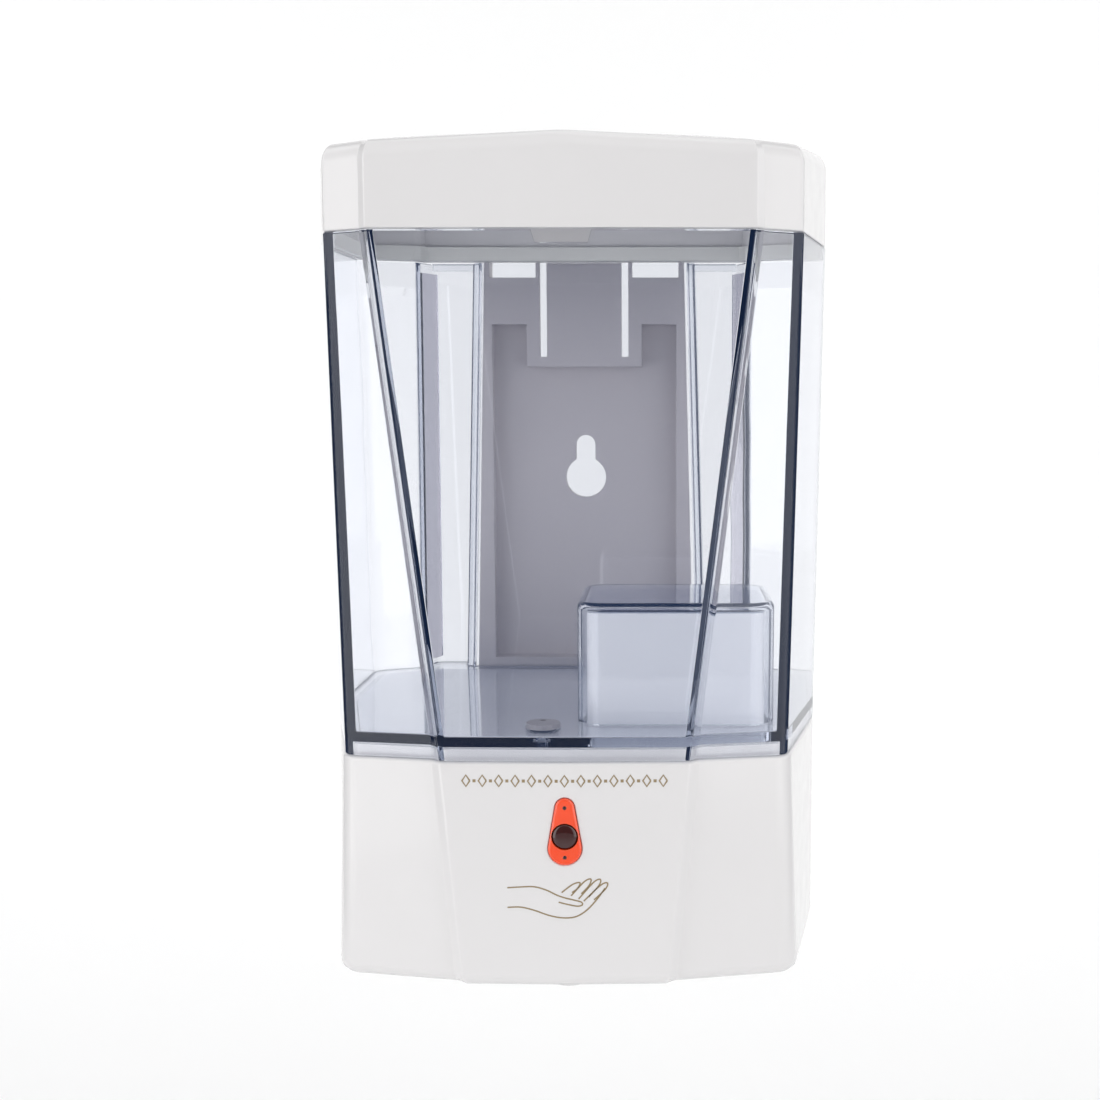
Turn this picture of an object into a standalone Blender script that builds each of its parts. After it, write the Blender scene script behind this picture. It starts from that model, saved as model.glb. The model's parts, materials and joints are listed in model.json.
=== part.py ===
"""Wall-mounted sensor soap dispenser: housing, clear tank, hinged lid, pump and drive, one solid per piece.

The sizes below are in millimetres, with heights above the underside of the housing. X runs to the right
as seen from the front, Y runs back to the wall, which is the plane y = 0, and the meshes are in metres
with their origin on the wall face, ORIGIN_HEIGHT above the underside.
"""
import math

import bpy
from mathutils import Matrix, Vector

MM = 0.001
ORIGIN_HEIGHT = 100.0
GAP = 0.3                     # between pieces that touch
RUNNING = 0.08                # radial clearance of a pin in its hole

# Heights of the three tiers
FLOOR = 2.6                   # top of the housing's floor
SEAM = 56.2                   # housing below, tank above
TANK_FLOOR_UNDER = 59.3
TANK_FLOOR = 61.6
TANK_RIM = 181.8
LID_FRONT_TOP = 204.2
FRONT = -111.5                # foremost line of the centre panel

WALL = 2.2                    # wall of tank and lid
HOUSING_WALL = 2.4

# Tank: finger notch in the front rim, caps over the rear posts, outlet spigot
NOTCH_DEPTH = 3.0
NOTCH_LOW_HALF = 6.2
NOTCH_HIGH_HALF = 7.4
POST_CENTRE = 38.8
POST_HALF = 6.2
POST_CAP = 2.0
SPIGOT_RADIUS = 3.2
SPIGOT_FOOT = 52.5
OUTLET_RADIUS = 1.6

# Housing: lip that the tank's skirt goes over, screw bosses and board pads
LIP_TOP = SEAM + 2.4
LIP_OUTER = WALL + 0.7
LIP_INNER = LIP_OUTER + 1.6
BOSS_RADIUS = 3.6
BOSS_DEEP = -17.0
PUMP_BOSS_RADIUS = 3.2
SCREW_HOLE_RADIUS = 1.45
SCREW_SHANK_RADIUS = 1.3
BOARD_PADS = ((11.0, -81.0), (35.0, -81.0), (11.0, -55.0), (35.0, -55.0))
BOARD = (7.5, 38.5, -84.5, -52.0)      # left, right, front, rear
BOARD_LOW = 8.0
BOARD_HIGH = 9.6
PAD_RADIUS = 2.2
PAD_TOP = 7.7
NOZZLE_HOLE_RADIUS = 5.3

# Lid
LID_BOTTOM = TANK_RIM + GAP
LID_FILLET = 4.2
LID_EDGE_INSET = 2.8          # how far the rounded top edge comes in
LID_REAR = -7.5
LID_CROWN = 3.6               # fall of the top at LID_CROWN_REACH from the middle
LID_CROWN_REACH = 57.0
LID_RISE = 6.8                # rise of the top from its front edge to its peak
LID_PEAK_Y = -43.5
SEAL_THICK = 1.4
SEAL_TALL = 4.0
HINGE_Y = -3.6
HINGE_HEIGHT = 205.4
HINGE_PIN_RADIUS = 1.2
KNUCKLE_RADIUS = 3.0
LUG_INNER = 20.0
LUG_OUTER = 25.0
KNUCKLE_INNER = 14.0
KNUCKLE_OUTER = 31.0

# Back plate
PLATE_FRONT = -9.0
PLATE_FOOT_HALF = 32.8
PLATE_HEAD_HALF = 29.6
PLATE_FOOT = 50.0
PLATE_TOP = 201.0
FLANGE_HALF = 44.0
FLANGE_FRONT = -4.2
RECESS_HALF = 27.3
RECESS_LOW = 63.9
RECESS_HIGH = 164.0
RECESS_FLOOR = -3.4
BLOCK_HALF = 17.1
BLOCK_LOW = 151.5
SHEET_BACK = -6.6             # rear of the thin sheet that the tongue is cut from
TONGUE_HALF = 11.1
TONGUE_LOW = 154.5
SLOT_WIDTH = 2.0
WINDOW_LOW = 177.7
WINDOW_INNER = 14.3
WINDOW_OUTER = 28.0
SLIT_TOP = 183.2
KEYHOLE_HEIGHT = 118.3
KEYHOLE_RADIUS = 6.1
KEYHOLE_SLOT_HALF = 2.9
KEYHOLE_TOP = 131.1

# Hump in the tank's floor, over the motor
HUMP_LEFT = 1.9
HUMP_RIGHT = 51.5
HUMP_FRONT = -94.0
HUMP_REAR = -53.5
HUMP_TOP = 92.0
HUMP_CORNER = 5.0

# White cover between housing and tank, with a block that stands inside the hump
DECK_LOW = 58.1
DECK_HIGH = 59.0
DECK_REAR = -13.2
DECK_BLOCK_WALL = 1.3
DECK_BLOCK_GAP = 0.5

# Sensor window: two circles and their tangents
LENS_BOTTOM_HEIGHT = 34.9
LENS_BOTTOM_RADIUS = 4.25
LENS_TOP_HEIGHT = 44.9
LENS_TOP_RADIUS = 2.45
FILTER_HEIGHT = 37.9
FILTER_RADIUS = 2.95
LED_HEIGHTS = {"indicator_led": 45.0, "ir_emitter": 32.8, "ir_receiver": 37.9}

# Outlet, nozzle and tube
OUTLET = (-6.0, -98.0)
NOZZLE = (0.0, -97.0)
TUBE_RADIUS = 1.8

# Pump, centred on its rotor
ROTOR = (20.0, -66.0)
PUMP_LOW = 30.0
PUMP_HIGH = 44.0
PUMP_RADIUS = 18.5
RACE_RADIUS = 16.0
TUBE_TRACK = RACE_RADIUS - TUBE_RADIUS - 0.1
ROLLER_RADIUS = 4.0
ROLLER_TRACK = TUBE_TRACK - TUBE_RADIUS - GAP - ROLLER_RADIUS
ROLLER_COUNT = 3
ROLLER_PIN_RADIUS = 0.9
ROLLER_LOW = 33.5
ROLLER_HIGH = 40.5
PUMP_EARS = ((43.5, -72.0), (9.0, -45.5), (31.0, -45.5))
COVER_LOW = PUMP_HIGH + GAP
COVER_HIGH = COVER_LOW + 2.0

# Drive: motor pinion, idler with two rims, output gear on the rotor
MODULE = 0.5
MOTOR_TEETH = 10
IDLER_LARGE_TEETH = 40
IDLER_SMALL_TEETH = 12
OUTPUT_TEETH = 42
LOWER_GEARS = (47.0, 50.0)
UPPER_GEARS = (50.6, 53.4)
IDLER = (ROTOR[0] + MODULE * (IDLER_SMALL_TEETH + OUTPUT_TEETH) / 2, ROTOR[1])
MOTOR_REACH = MODULE * (MOTOR_TEETH + IDLER_LARGE_TEETH) / 2
MOTOR_ANGLE = math.radians(230.0)
MOTOR = (IDLER[0] + MOTOR_REACH * math.cos(MOTOR_ANGLE), IDLER[1] + MOTOR_REACH * math.sin(MOTOR_ANGLE))
MOTOR_PLATE = (56.0, 57.8)
GEAR_POSTS = ((7.0, -81.0), (7.0, -54.0), (44.5, -81.0), (44.5, -54.0))

# Battery compartment
CELL_COUNT = 4
CELL_RADIUS = 6.9
CELL_PITCH = 14.0
CELL_HEIGHT = 12.5
TRAY_LEFT = -57.2
TRAY_RIGHT = 1.2
TRAY_FRONT = -77.0
TRAY_REAR = -22.0
TRAY_WALL = 1.2
TRAY_LOW = 4.0
TRAY_HIGH = 21.6
DOOR_LEFT = -53.4
DOOR_RIGHT = -2.6
DOOR_FRONT = -74.6
DOOR_THICK = 2.2
DOOR_AXIS_Y = -26.4
DOOR_AXIS_HEIGHT = 1.6
DOOR_BARREL = 1.6
DOOR_LUG = 5.0
DOOR_PIN_RADIUS = 0.8

# Power switch in the floor
SWITCH = (50.5, -38.0)

# Screws that hold the back plate: (x, height)
CASE_SCREWS = ((-40.0, 12.0), (40.0, 12.0), (-40.0, 44.0), (40.0, 44.0))

# Half outlines (x, y, corner radius), from the front centre round to the rear centre
TANK_TOP = ((0.0, FRONT, 60.0), (45.6, -110.5, 0.6), (47.3, -108.1, 0.6), (57.0, -102.0, 2.5),
            (66.5, -60.0, 25.0), (66.5, -17.5, 7.0), (50.0, -11.5, 1.5), (46.4, -1.6, 2.6),
            (31.2, -1.6, 1.2), (30.6, -9.6, 1.0))
TANK_SEAM = ((0.0, FRONT, 60.0), (30.0, -110.9, 0.6), (31.8, -108.4, 0.6), (53.8, -104.4, 2.5),
             (64.4, -60.0, 25.0), (64.0, -17.5, 7.0), (50.0, -11.5, 1.5), (46.4, -1.6, 2.6),
             (34.6, -1.6, 1.2), (34.0, -9.6, 1.0))
HOUSING_TOP = ((0.0, FRONT, 60.0), (30.2, -110.8, 1.5), (32.4, -108.8, 1.5), (54.4, -104.4, 6.0),
               (64.4, -60.0, 25.0), (64.0, -17.5, 7.0), (50.0, -11.5, 1.5), (46.4, -1.0, 1.2))
HOUSING_FOOT = ((0.0, FRONT, 60.0), (24.9, -110.8, 1.5), (27.2, -108.6, 1.5), (56.6, -102.6, 7.0),
                (64.2, -60.0, 25.0), (63.8, -17.5, 7.0), (50.0, -11.5, 1.5), (46.4, -1.0, 1.2))
LID_OUTLINE = TANK_TOP[:7] + ((48.4, LID_REAR, 1.2),)

ARC_STEPS = 2
ROUND = 20                    # sides of a small round piece
LARGE_ROUND = 28


# ---------------------------------------------------------------- materials

def finish(name, colour, roughness, metallic=0.0, alpha=1.0):
    """A Principled material, made once for each name."""
    found = bpy.data.materials.get(name)
    if found:
        return found
    made = bpy.data.materials.new(name)
    made.use_nodes = True
    shader = made.node_tree.nodes["Principled BSDF"]
    shader.inputs["Base Color"].default_value = (*colour, 1.0)
    shader.inputs["Roughness"].default_value = roughness
    shader.inputs["Metallic"].default_value = metallic
    shader.inputs["Alpha"].default_value = alpha
    return made


def finishes():
    """Every finish of the object, by name."""
    return {
        "white": finish("white_plastic", (0.86, 0.86, 0.87), 0.22),
        "grey": finish("grey_plastic", (0.33, 0.32, 0.35), 0.42),
        "clear": finish("clear_plastic", (0.62, 0.66, 0.76), 0.05, 0.0, 0.3),
        "red": finish("red_lens", (0.86, 0.09, 0.03), 0.12),
        "dark": finish("dark_filter", (0.03, 0.015, 0.015), 0.1),
        "black": finish("black_plastic", (0.03, 0.03, 0.03), 0.4),
        "steel": finish("steel", (0.6, 0.6, 0.6), 0.3, 1.0),
        "brass": finish("brass", (0.7, 0.5, 0.2), 0.3, 1.0),
        "silicone": finish("silicone", (0.75, 0.75, 0.72), 0.5),
        "board": finish("board", (0.03, 0.2, 0.08), 0.45),
        "acetal": finish("acetal", (0.8, 0.78, 0.7), 0.35),
        "cell": finish("cell_jacket", (0.1, 0.12, 0.16), 0.3),
        "lead": finish("lead_red", (0.5, 0.02, 0.02), 0.45),
    }


# ---------------------------------------------------------------- mesh tools

def place(x, y, height):
    """A point in metres from millimetres and a height above the underside."""
    return Vector((x, y, height - ORIGIN_HEIGHT)) * MM


def solid(name, points, faces, coat, smooth=None):
    """An object from millimetre points, with its faces turned outwards."""
    mesh = bpy.data.meshes.new(name)
    mesh.from_pydata([place(*point) for point in points], [], faces)
    mesh.materials.append(coat)
    made = bpy.data.objects.new(name, mesh)
    bpy.context.collection.objects.link(made)
    turn_outwards(mesh)
    if smooth:
        mesh.shade_smooth()
        mesh.set_sharp_from_angle(angle=math.radians(smooth))
    return made


def turn_outwards(mesh):
    """Flip every face if the mesh encloses a negative volume."""
    mesh.calc_loop_triangles()
    volume = 0.0
    for triangle in mesh.loop_triangles:
        a, b, c = (mesh.vertices[index].co for index in triangle.vertices)
        volume += a.dot(b.cross(c))
    if volume < 0.0:
        mesh.flip_normals()


def loft(rings):
    """Points and faces of a skin over rings of equal length, capped at both ends."""
    count = len(rings[0])
    points = [point for ring in rings for point in ring]
    faces = [tuple(range(count))[::-1]]
    for level in range(len(rings) - 1):
        low = level * count
        high = low + count
        for step in range(count):
            following = (step + 1) % count
            faces.append((low + step, low + following, high + following, high + step))
    last = (len(rings) - 1) * count
    faces.append(tuple(range(last, last + count)))
    return points, faces


def full_outline(half):
    """Both sides of a half outline whose first point may lie on the centre line, anticlockwise."""
    mirrored = [(-x, y, radius) for x, y, radius in reversed(half) if x > 0.0]
    return list(half) + mirrored


def blended(low, high, share):
    """A half outline part of the way from one to another."""
    return [tuple(a + (b - a) * share for a, b in zip(start, end)) for start, end in zip(low, high)]


def rounded(half, inset):
    """Points (x, y) of an outline moved in by inset, with an arc at each corner."""
    corners = full_outline(half)
    count = len(corners)
    moved = []
    for index, (x, y, radius) in enumerate(corners):
        before = Vector(corners[index - 1][:2])
        here = Vector((x, y))
        after = Vector(corners[(index + 1) % count][:2])
        into = (here - before).normalized()
        out = (after - here).normalized()
        normal_in = Vector((-into.y, into.x))
        normal_out = Vector((-out.y, out.x))
        shifted = here + (normal_in + normal_out) * inset / (1.0 + normal_in.dot(normal_out))
        moved.append((shifted, into, out, radius))
    points = []
    for corner, into, out, radius in moved:
        turn = math.atan2(into.x * out.y - into.y * out.x, into.dot(out))
        side = 1.0 if turn > 0.0 else -1.0
        bend = max(radius - side * inset, 0.25)
        start = corner - into * bend * math.tan(abs(turn) / 2)
        centre = start + Vector((-into.y, into.x)) * side * bend
        for step in range(ARC_STEPS + 1):
            spin = Matrix.Rotation(turn * step / ARC_STEPS, 2)
            points.append(tuple(centre + spin @ (start - centre)))
    return points


def ring(half, inset, height):
    """One level ring of an outline."""
    return [(x, y, height) for x, y in rounded(half, inset)]


def circle(radius, sides=ROUND, centre=(0.0, 0.0)):
    """Corners of a regular polygon."""
    return [(centre[0] + radius * math.cos(2 * math.pi * step / sides),
             centre[1] + radius * math.sin(2 * math.pi * step / sides)) for step in range(sides)]


def rectangle(left, right, low, high, radius=0.0, steps=4):
    """Corners of a rectangle, rounded where a radius is given."""
    if radius == 0.0:
        return [(left, low), (right, low), (right, high), (left, high)]
    centres = ((right - radius, high - radius), (left + radius, high - radius),
               (left + radius, low + radius), (right - radius, low + radius))
    points = []
    for quarter, (x, y) in enumerate(centres):
        for step in range(steps + 1):
            angle = math.pi / 2 * (quarter + step / steps)
            points.append((x + radius * math.cos(angle), y + radius * math.sin(angle)))
    return points


def prism(name, outline, axis, low, high, coat, smooth=None):
    """An outline pushed along an axis: (y, height) along X, (x, height) along Y, (x, y) along Z."""
    to_point = {
        "X": lambda a, b, along: (along, a, b),
        "Y": lambda a, b, along: (a, along, b),
        "Z": lambda a, b, along: (a, b, along),
    }[axis]
    rings = [[to_point(a, b, along) for a, b in outline] for along in (low, high)]
    return solid(name, *loft(rings), coat, smooth)


def box(name, low, high, coat):
    """A block between two corners."""
    return prism(name, rectangle(low[0], high[0], low[1], high[1]), "Z", low[2], high[2], coat)


def rod(name, centre, radius, low, high, coat, sides=ROUND):
    """An upright cylinder."""
    return prism(name, circle(radius, sides, centre), "Z", low, high, coat, 40)


def turned(name, profile, centre, coat, sides=ROUND):
    """A closed profile of (radius, height) turned about an upright axis."""
    count = len(profile)
    points = []
    for radius, height in profile:
        points += [(x, y, height) for x, y in circle(radius, sides, centre)]
    faces = []
    for level in range(count):
        low = level * sides
        high = ((level + 1) % count) * sides
        for step in range(sides):
            following = (step + 1) % sides
            faces.append((low + step, low + following, high + following, high + step))
    return solid(name, points, faces, coat, 40)


def combine(target, tool, operation):
    """Apply a tool to a target with a Boolean, and hide the tool."""
    tool.hide_render = True
    tool.display_type = "WIRE"
    step = target.modifiers.new(tool.name, "BOOLEAN")
    step.operation = operation
    step.solver = "EXACT"
    step.object = tool
    return target


def cut(target, tool):
    """Take a tool's volume away."""
    return combine(target, tool, "DIFFERENCE")


def fuse(target, tool):
    """Add a tool's volume."""
    return combine(target, tool, "UNION")


def pivot(made, x, y, height):
    """Move an object's origin to a point on its joint's axis."""
    origin = place(x, y, height)
    made.data.transform(Matrix.Translation(-origin))
    made.location = origin
    return made


def wire(name, route, radius, coat, samples=40):
    """A round lead or tube on a smooth curve through its route."""
    ends = [route[0]] + list(route) + [route[-1]]
    curve = bpy.data.curves.new(name, "CURVE")
    curve.dimensions = "3D"
    curve.bevel_depth = radius * MM
    curve.bevel_resolution = 2
    curve.use_fill_caps = True
    curve.materials.append(coat)
    spline = curve.splines.new("POLY")
    spline.points.add(samples - 1)
    spans = len(route) - 1
    for index in range(samples):
        position = spans * index / (samples - 1)
        span = min(int(position), spans - 1)
        share = position - span
        a, b, c, d = (Vector(ends[span + offset]) for offset in range(4))
        spot = 0.5 * (2 * b + (c - a) * share + (2 * a - 5 * b + 4 * c - d) * share ** 2
                      + (3 * b - a - 3 * c + d) * share ** 3)
        spline.points[index].co = (*place(*spot), 1.0)
    made = bpy.data.objects.new(name, curve)
    bpy.context.collection.objects.link(made)
    return made


# ---------------------------------------------------------------- tank

def tank_outline(height):
    """The tank's half outline at a height."""
    share = (height - SEAM) / (TANK_RIM - SEAM)
    return blended(TANK_SEAM, TANK_TOP, min(max(share, 0.0), 1.0))


def tank(coat):
    """The clear tank: skirt, floor, walls, hump, outlet spigot and finger notch."""
    levels = ((TANK_FLOOR_UNDER, WALL), (SEAM, WALL), (SEAM, 0.0), (TANK_RIM, 0.0), (TANK_RIM, WALL),
              (TANK_FLOOR, WALL))
    rings = [ring(tank_outline(height), inset, height) for height, inset in levels]
    made = solid("tank", *loft(rings), coat, 30)
    fuse(made, hump("hump_tool", 0.0, TANK_FLOOR_UNDER + 0.5, HUMP_TOP, coat))
    cut(made, hump("hump_hollow", WALL, SEAM, HUMP_TOP - WALL, coat))
    for side in (-1, 1):
        middle = side * POST_CENTRE
        closure = box(f"post_cap_{side}", (middle - POST_HALF, LID_REAR - 0.6, TANK_RIM - POST_CAP),
                      (middle + POST_HALF, -2.6, TANK_RIM), coat)
        fuse(made, closure)
    fuse(made, rod("outlet_spigot", OUTLET, SPIGOT_RADIUS, SPIGOT_FOOT, TANK_FLOOR_UNDER + 0.8, coat))
    cut(made, rod("outlet_hole", OUTLET, OUTLET_RADIUS, SPIGOT_FOOT - 2.0, TANK_FLOOR + 1.0, coat))
    notch = ((-NOTCH_LOW_HALF, TANK_RIM - NOTCH_DEPTH), (NOTCH_LOW_HALF, TANK_RIM - NOTCH_DEPTH),
             (NOTCH_HIGH_HALF, TANK_RIM + 1.0), (-NOTCH_HIGH_HALF, TANK_RIM + 1.0))
    cut(made, prism("finger_notch", notch, "Y", FRONT - 2.0, FRONT + WALL + 2.0, coat))
    return made


def hump(name, inset, low, high, coat):
    """The rounded block over the motor."""
    outline = rectangle(HUMP_LEFT + inset, HUMP_RIGHT - inset, HUMP_FRONT + inset, HUMP_REAR - inset,
                        HUMP_CORNER - inset)
    return prism(name, outline, "Z", low, high, coat, 30)


def outlet_pieces(coats):
    """Strainer over the outlet and the ring under its spigot."""
    x, y = OUTLET
    turned("outlet_strainer", ((0.8, TANK_FLOOR + GAP), (4.4, TANK_FLOOR + GAP), (4.2, TANK_FLOOR + 1.5),
                               (0.8, TANK_FLOOR + 2.0)), (x, y), coats["grey"])
    turned("outlet_seal", ((3.3, 53.0), (4.6, 53.0), (4.6, 55.0), (3.3, 55.0)), (x, y), coats["silicone"])


# ---------------------------------------------------------------- lid

def lid_top(x, y):
    """Height of the lid's outer top over a point, before its edge is rounded."""
    fall = LID_CROWN * (x / LID_CROWN_REACH) ** 2
    share = (y - FRONT) / (LID_PEAK_Y - FRONT)
    rise = LID_RISE * (1.5 * share - 0.5 * share ** 3)
    return LID_FRONT_TOP - fall + rise


def lid_ring(inset, drop, shrink=1.0, sink=0.0):
    """A ring that follows the lid's top, drawn towards its middle by shrink."""
    middle = (FRONT + LID_REAR) / 2
    points = []
    for x, y in rounded(LID_OUTLINE, inset):
        x *= shrink
        y = middle + (y - middle) * shrink
        points.append((x, y, lid_top(x, y) - drop - sink))
    return points


def lid(coats):
    """The lid: a crowned cap, open below, with hinge knuckles at its rear edge."""
    steps = 4
    top = [lid_ring(LID_EDGE_INSET, 0.0, shrink) for shrink in (0.25, 0.6, 0.88)]
    edge = []
    for step in range(steps + 1):
        angle = math.pi / 2 * step / steps
        edge.append(lid_ring(LID_EDGE_INSET * (1 - math.sin(angle)), LID_FILLET * (1 - math.cos(angle))))
    foot = [ring(LID_OUTLINE, 0.0, LID_BOTTOM), ring(LID_OUTLINE, WALL, LID_BOTTOM)]
    inner_edge = [lid_ring(WALL, LID_FILLET, 1.0, 0.6), lid_ring(LID_EDGE_INSET + WALL, 0.0, 1.0, WALL)]
    inner_top = [lid_ring(LID_EDGE_INSET + WALL, 0.0, shrink, WALL) for shrink in (0.6, 0.25)]
    made = solid("lid", *loft(top + edge + foot + inner_edge + inner_top), coats["white"], 30)
    for side in (-1, 1):
        for index, (inner, outer) in enumerate(((KNUCKLE_INNER, LUG_INNER), (LUG_OUTER, KNUCKLE_OUTER))):
            low = side * (inner + (GAP if index else 0.0))
            high = side * (outer - (0.0 if index else GAP))
            fuse(made, knuckle(f"lid_knuckle_{side}_{index}", *sorted((low, high)), coats["white"]))
        hole = circle(HINGE_PIN_RADIUS + RUNNING, ROUND, (HINGE_Y, HINGE_HEIGHT))
        ends = sorted((side * (KNUCKLE_INNER - 1.0), side * (KNUCKLE_OUTER + 1.0)))
        cut(made, prism(f"lid_pin_hole_{side}", hole, "X", *ends, coats["white"]))
    return pivot(made, 0.0, HINGE_Y, HINGE_HEIGHT)


def knuckle(name, low, high, coat):
    """One barrel of the lid's hinge with its web to the rear wall."""
    start = math.radians(100.0)
    sweep = math.radians(-200.0)
    arc = []
    for step in range(11):
        angle = start + sweep * step / 10
        arc.append((HINGE_Y + KNUCKLE_RADIUS * math.cos(angle),
                    HINGE_HEIGHT + KNUCKLE_RADIUS * math.sin(angle)))
    web = [(LID_REAR - 1.0, HINGE_HEIGHT - 2.6), (LID_REAR - 1.0, HINGE_HEIGHT + 2.2)]
    return prism(name, arc + web, "X", low, high, coat, 40)


def lid_seal(coat):
    """The soft ring along the lid's inner wall, just above the tank's rim."""
    outer = WALL + GAP
    inner = outer + SEAL_THICK
    low = LID_BOTTOM + GAP
    high = low + SEAL_TALL
    rings = [ring(LID_OUTLINE, inset, height)
             for inset, height in ((inner, low), (outer, low), (outer, high), (inner, high))]
    count = len(rings[0])
    points = [point for level in rings for point in level]
    faces = []
    for level in range(len(rings)):
        start = level * count
        after = ((level + 1) % len(rings)) * count
        for step in range(count):
            following = (step + 1) % count
            faces.append((start + step, start + following, after + following, after + step))
    made = solid("lid_seal", points, faces, coat, 30)
    return pivot(made, 0.0, HINGE_Y, HINGE_HEIGHT)


# ---------------------------------------------------------------- back plate

def back_plate(coats):
    """The grey plate: wall face, keyhole, spring tongue, windows, hinge lugs and lower flange."""
    coat = coats["grey"]
    column = ((-PLATE_FOOT_HALF, PLATE_FOOT), (PLATE_FOOT_HALF, PLATE_FOOT), (PLATE_HEAD_HALF, TANK_RIM),
              (PLATE_HEAD_HALF, PLATE_TOP), (-PLATE_HEAD_HALF, PLATE_TOP), (-PLATE_HEAD_HALF, TANK_RIM))
    made = prism("back_plate", column, "Y", PLATE_FRONT, 0.0, coat)
    flange = rectangle(-FLANGE_HALF, FLANGE_HALF, FLOOR + 0.7, SEAM - GAP)
    fuse(made, prism("plate_flange", flange, "Y", FLANGE_FRONT, 0.0, coat))
    recess = ((-RECESS_HALF, RECESS_LOW), (RECESS_HALF, RECESS_LOW), (RECESS_HALF, RECESS_HIGH),
              (BLOCK_HALF, RECESS_HIGH), (BLOCK_HALF, BLOCK_LOW), (-BLOCK_HALF, BLOCK_LOW),
              (-BLOCK_HALF, RECESS_HIGH), (-RECESS_HALF, RECESS_HIGH))
    cut(made, prism("plate_recess", recess, "Y", PLATE_FRONT - 1.0, RECESS_FLOOR, coat))
    pocket_half = BLOCK_HALF - 1.5
    pocket = ((-pocket_half, BLOCK_LOW + 1.5), (pocket_half, BLOCK_LOW + 1.5), (pocket_half, RECESS_HIGH + 1.5),
              (RECESS_HALF, RECESS_HIGH + 1.5), (RECESS_HALF, SLIT_TOP + 2.0), (-RECESS_HALF, SLIT_TOP + 2.0),
              (-RECESS_HALF, RECESS_HIGH + 1.5), (-pocket_half, RECESS_HIGH + 1.5))
    cut(made, prism("plate_pocket", pocket, "Y", SHEET_BACK, 1.0, coat))
    cut(made, box("plate_head_relief", (-40.0, PLATE_FRONT - 1.0, TANK_RIM + 0.3),
                  (40.0, LID_REAR + 0.5, PLATE_TOP + 1.0), coat))
    slit = ((-TONGUE_HALF - SLOT_WIDTH, TONGUE_LOW), (-TONGUE_HALF, TONGUE_LOW), (-TONGUE_HALF, TANK_RIM - 0.1),
            (TONGUE_HALF, TANK_RIM - 0.1), (TONGUE_HALF, TONGUE_LOW), (TONGUE_HALF + SLOT_WIDTH, TONGUE_LOW),
            (TONGUE_HALF + SLOT_WIDTH, SLIT_TOP), (-TONGUE_HALF - SLOT_WIDTH, SLIT_TOP))
    cut(made, prism("tongue_slit", slit, "Y", PLATE_FRONT - 2.0, 1.0, coat))
    for side in (-1, 1):
        ends = sorted((side * WINDOW_INNER, side * WINDOW_OUTER))
        window = rectangle(*ends, WINDOW_LOW, SLIT_TOP)
        cut(made, prism(f"plate_window_{side}", window, "Y", PLATE_FRONT - 2.0, 1.0, coat))
        fuse(made, hinge_lug(f"hinge_lug_{side}", side, coat))
        hole = circle(HINGE_PIN_RADIUS + RUNNING, ROUND, (HINGE_Y, HINGE_HEIGHT))
        ends = sorted((side * (LUG_INNER - 1.0), side * (LUG_OUTER + 1.0)))
        cut(made, prism(f"lug_hole_{side}", hole, "X", *ends, coat))
    cut(made, prism("keyhole", keyhole_outline(), "Y", PLATE_FRONT, 1.0, coat))
    for index, (x, height) in enumerate(CASE_SCREWS):
        head = circle(3.3, ROUND, (x, height))
        cut(made, prism(f"flange_counterbore_{index}", head, "Y", -2.6, 1.0, coat))
        shank = circle(1.6, ROUND, (x, height))
        cut(made, prism(f"flange_hole_{index}", shank, "Y", FLANGE_FRONT - 1.0, 0.0, coat))
    return made


def keyhole_outline():
    """A round opening that narrows upwards into a slot."""
    start = math.acos(KEYHOLE_SLOT_HALF / KEYHOLE_RADIUS)
    sweep = math.pi + 2 * start
    head_steps = 20
    points = []
    for step in range(head_steps + 1):
        angle = math.pi - start + sweep * step / head_steps
        points.append((KEYHOLE_RADIUS * math.cos(angle), KEYHOLE_HEIGHT + KEYHOLE_RADIUS * math.sin(angle)))
    slot_centre = KEYHOLE_TOP - KEYHOLE_SLOT_HALF
    slot_steps = 8
    for step in range(slot_steps + 1):
        angle = math.pi * step / slot_steps
        points.append((KEYHOLE_SLOT_HALF * math.cos(angle), slot_centre + KEYHOLE_SLOT_HALF * math.sin(angle)))
    return points


def hinge_lug(name, side, coat):
    """An ear that holds one hinge pin, standing on the plate's top edge."""
    arc = []
    for step in range(9):
        angle = math.pi * step / 8
        arc.append((HINGE_Y + KNUCKLE_RADIUS * math.cos(angle),
                    HINGE_HEIGHT + KNUCKLE_RADIUS * math.sin(angle)))
    foot = [(HINGE_Y - KNUCKLE_RADIUS, PLATE_TOP - 3.0), (HINGE_Y + KNUCKLE_RADIUS, PLATE_TOP - 3.0)]
    return prism(name, arc + foot, "X", *sorted((side * LUG_INNER, side * LUG_OUTER)), coat, 40)


def hinge_pins(coat):
    """One steel pin on each side."""
    for name, side in (("hinge_pin_left", -1), ("hinge_pin_right", 1)):
        section = circle(HINGE_PIN_RADIUS, ROUND, (HINGE_Y, HINGE_HEIGHT))
        ends = sorted((side * (KNUCKLE_INNER + 0.4), side * (KNUCKLE_OUTER - 0.4)))
        prism(name, section, "X", *ends, coat, 40)


# ---------------------------------------------------------------- housing

def housing_outline(height):
    """The housing's half outline at a height."""
    return blended(HOUSING_FOOT, HOUSING_TOP, min(max(height / SEAM, 0.0), 1.0))


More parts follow.
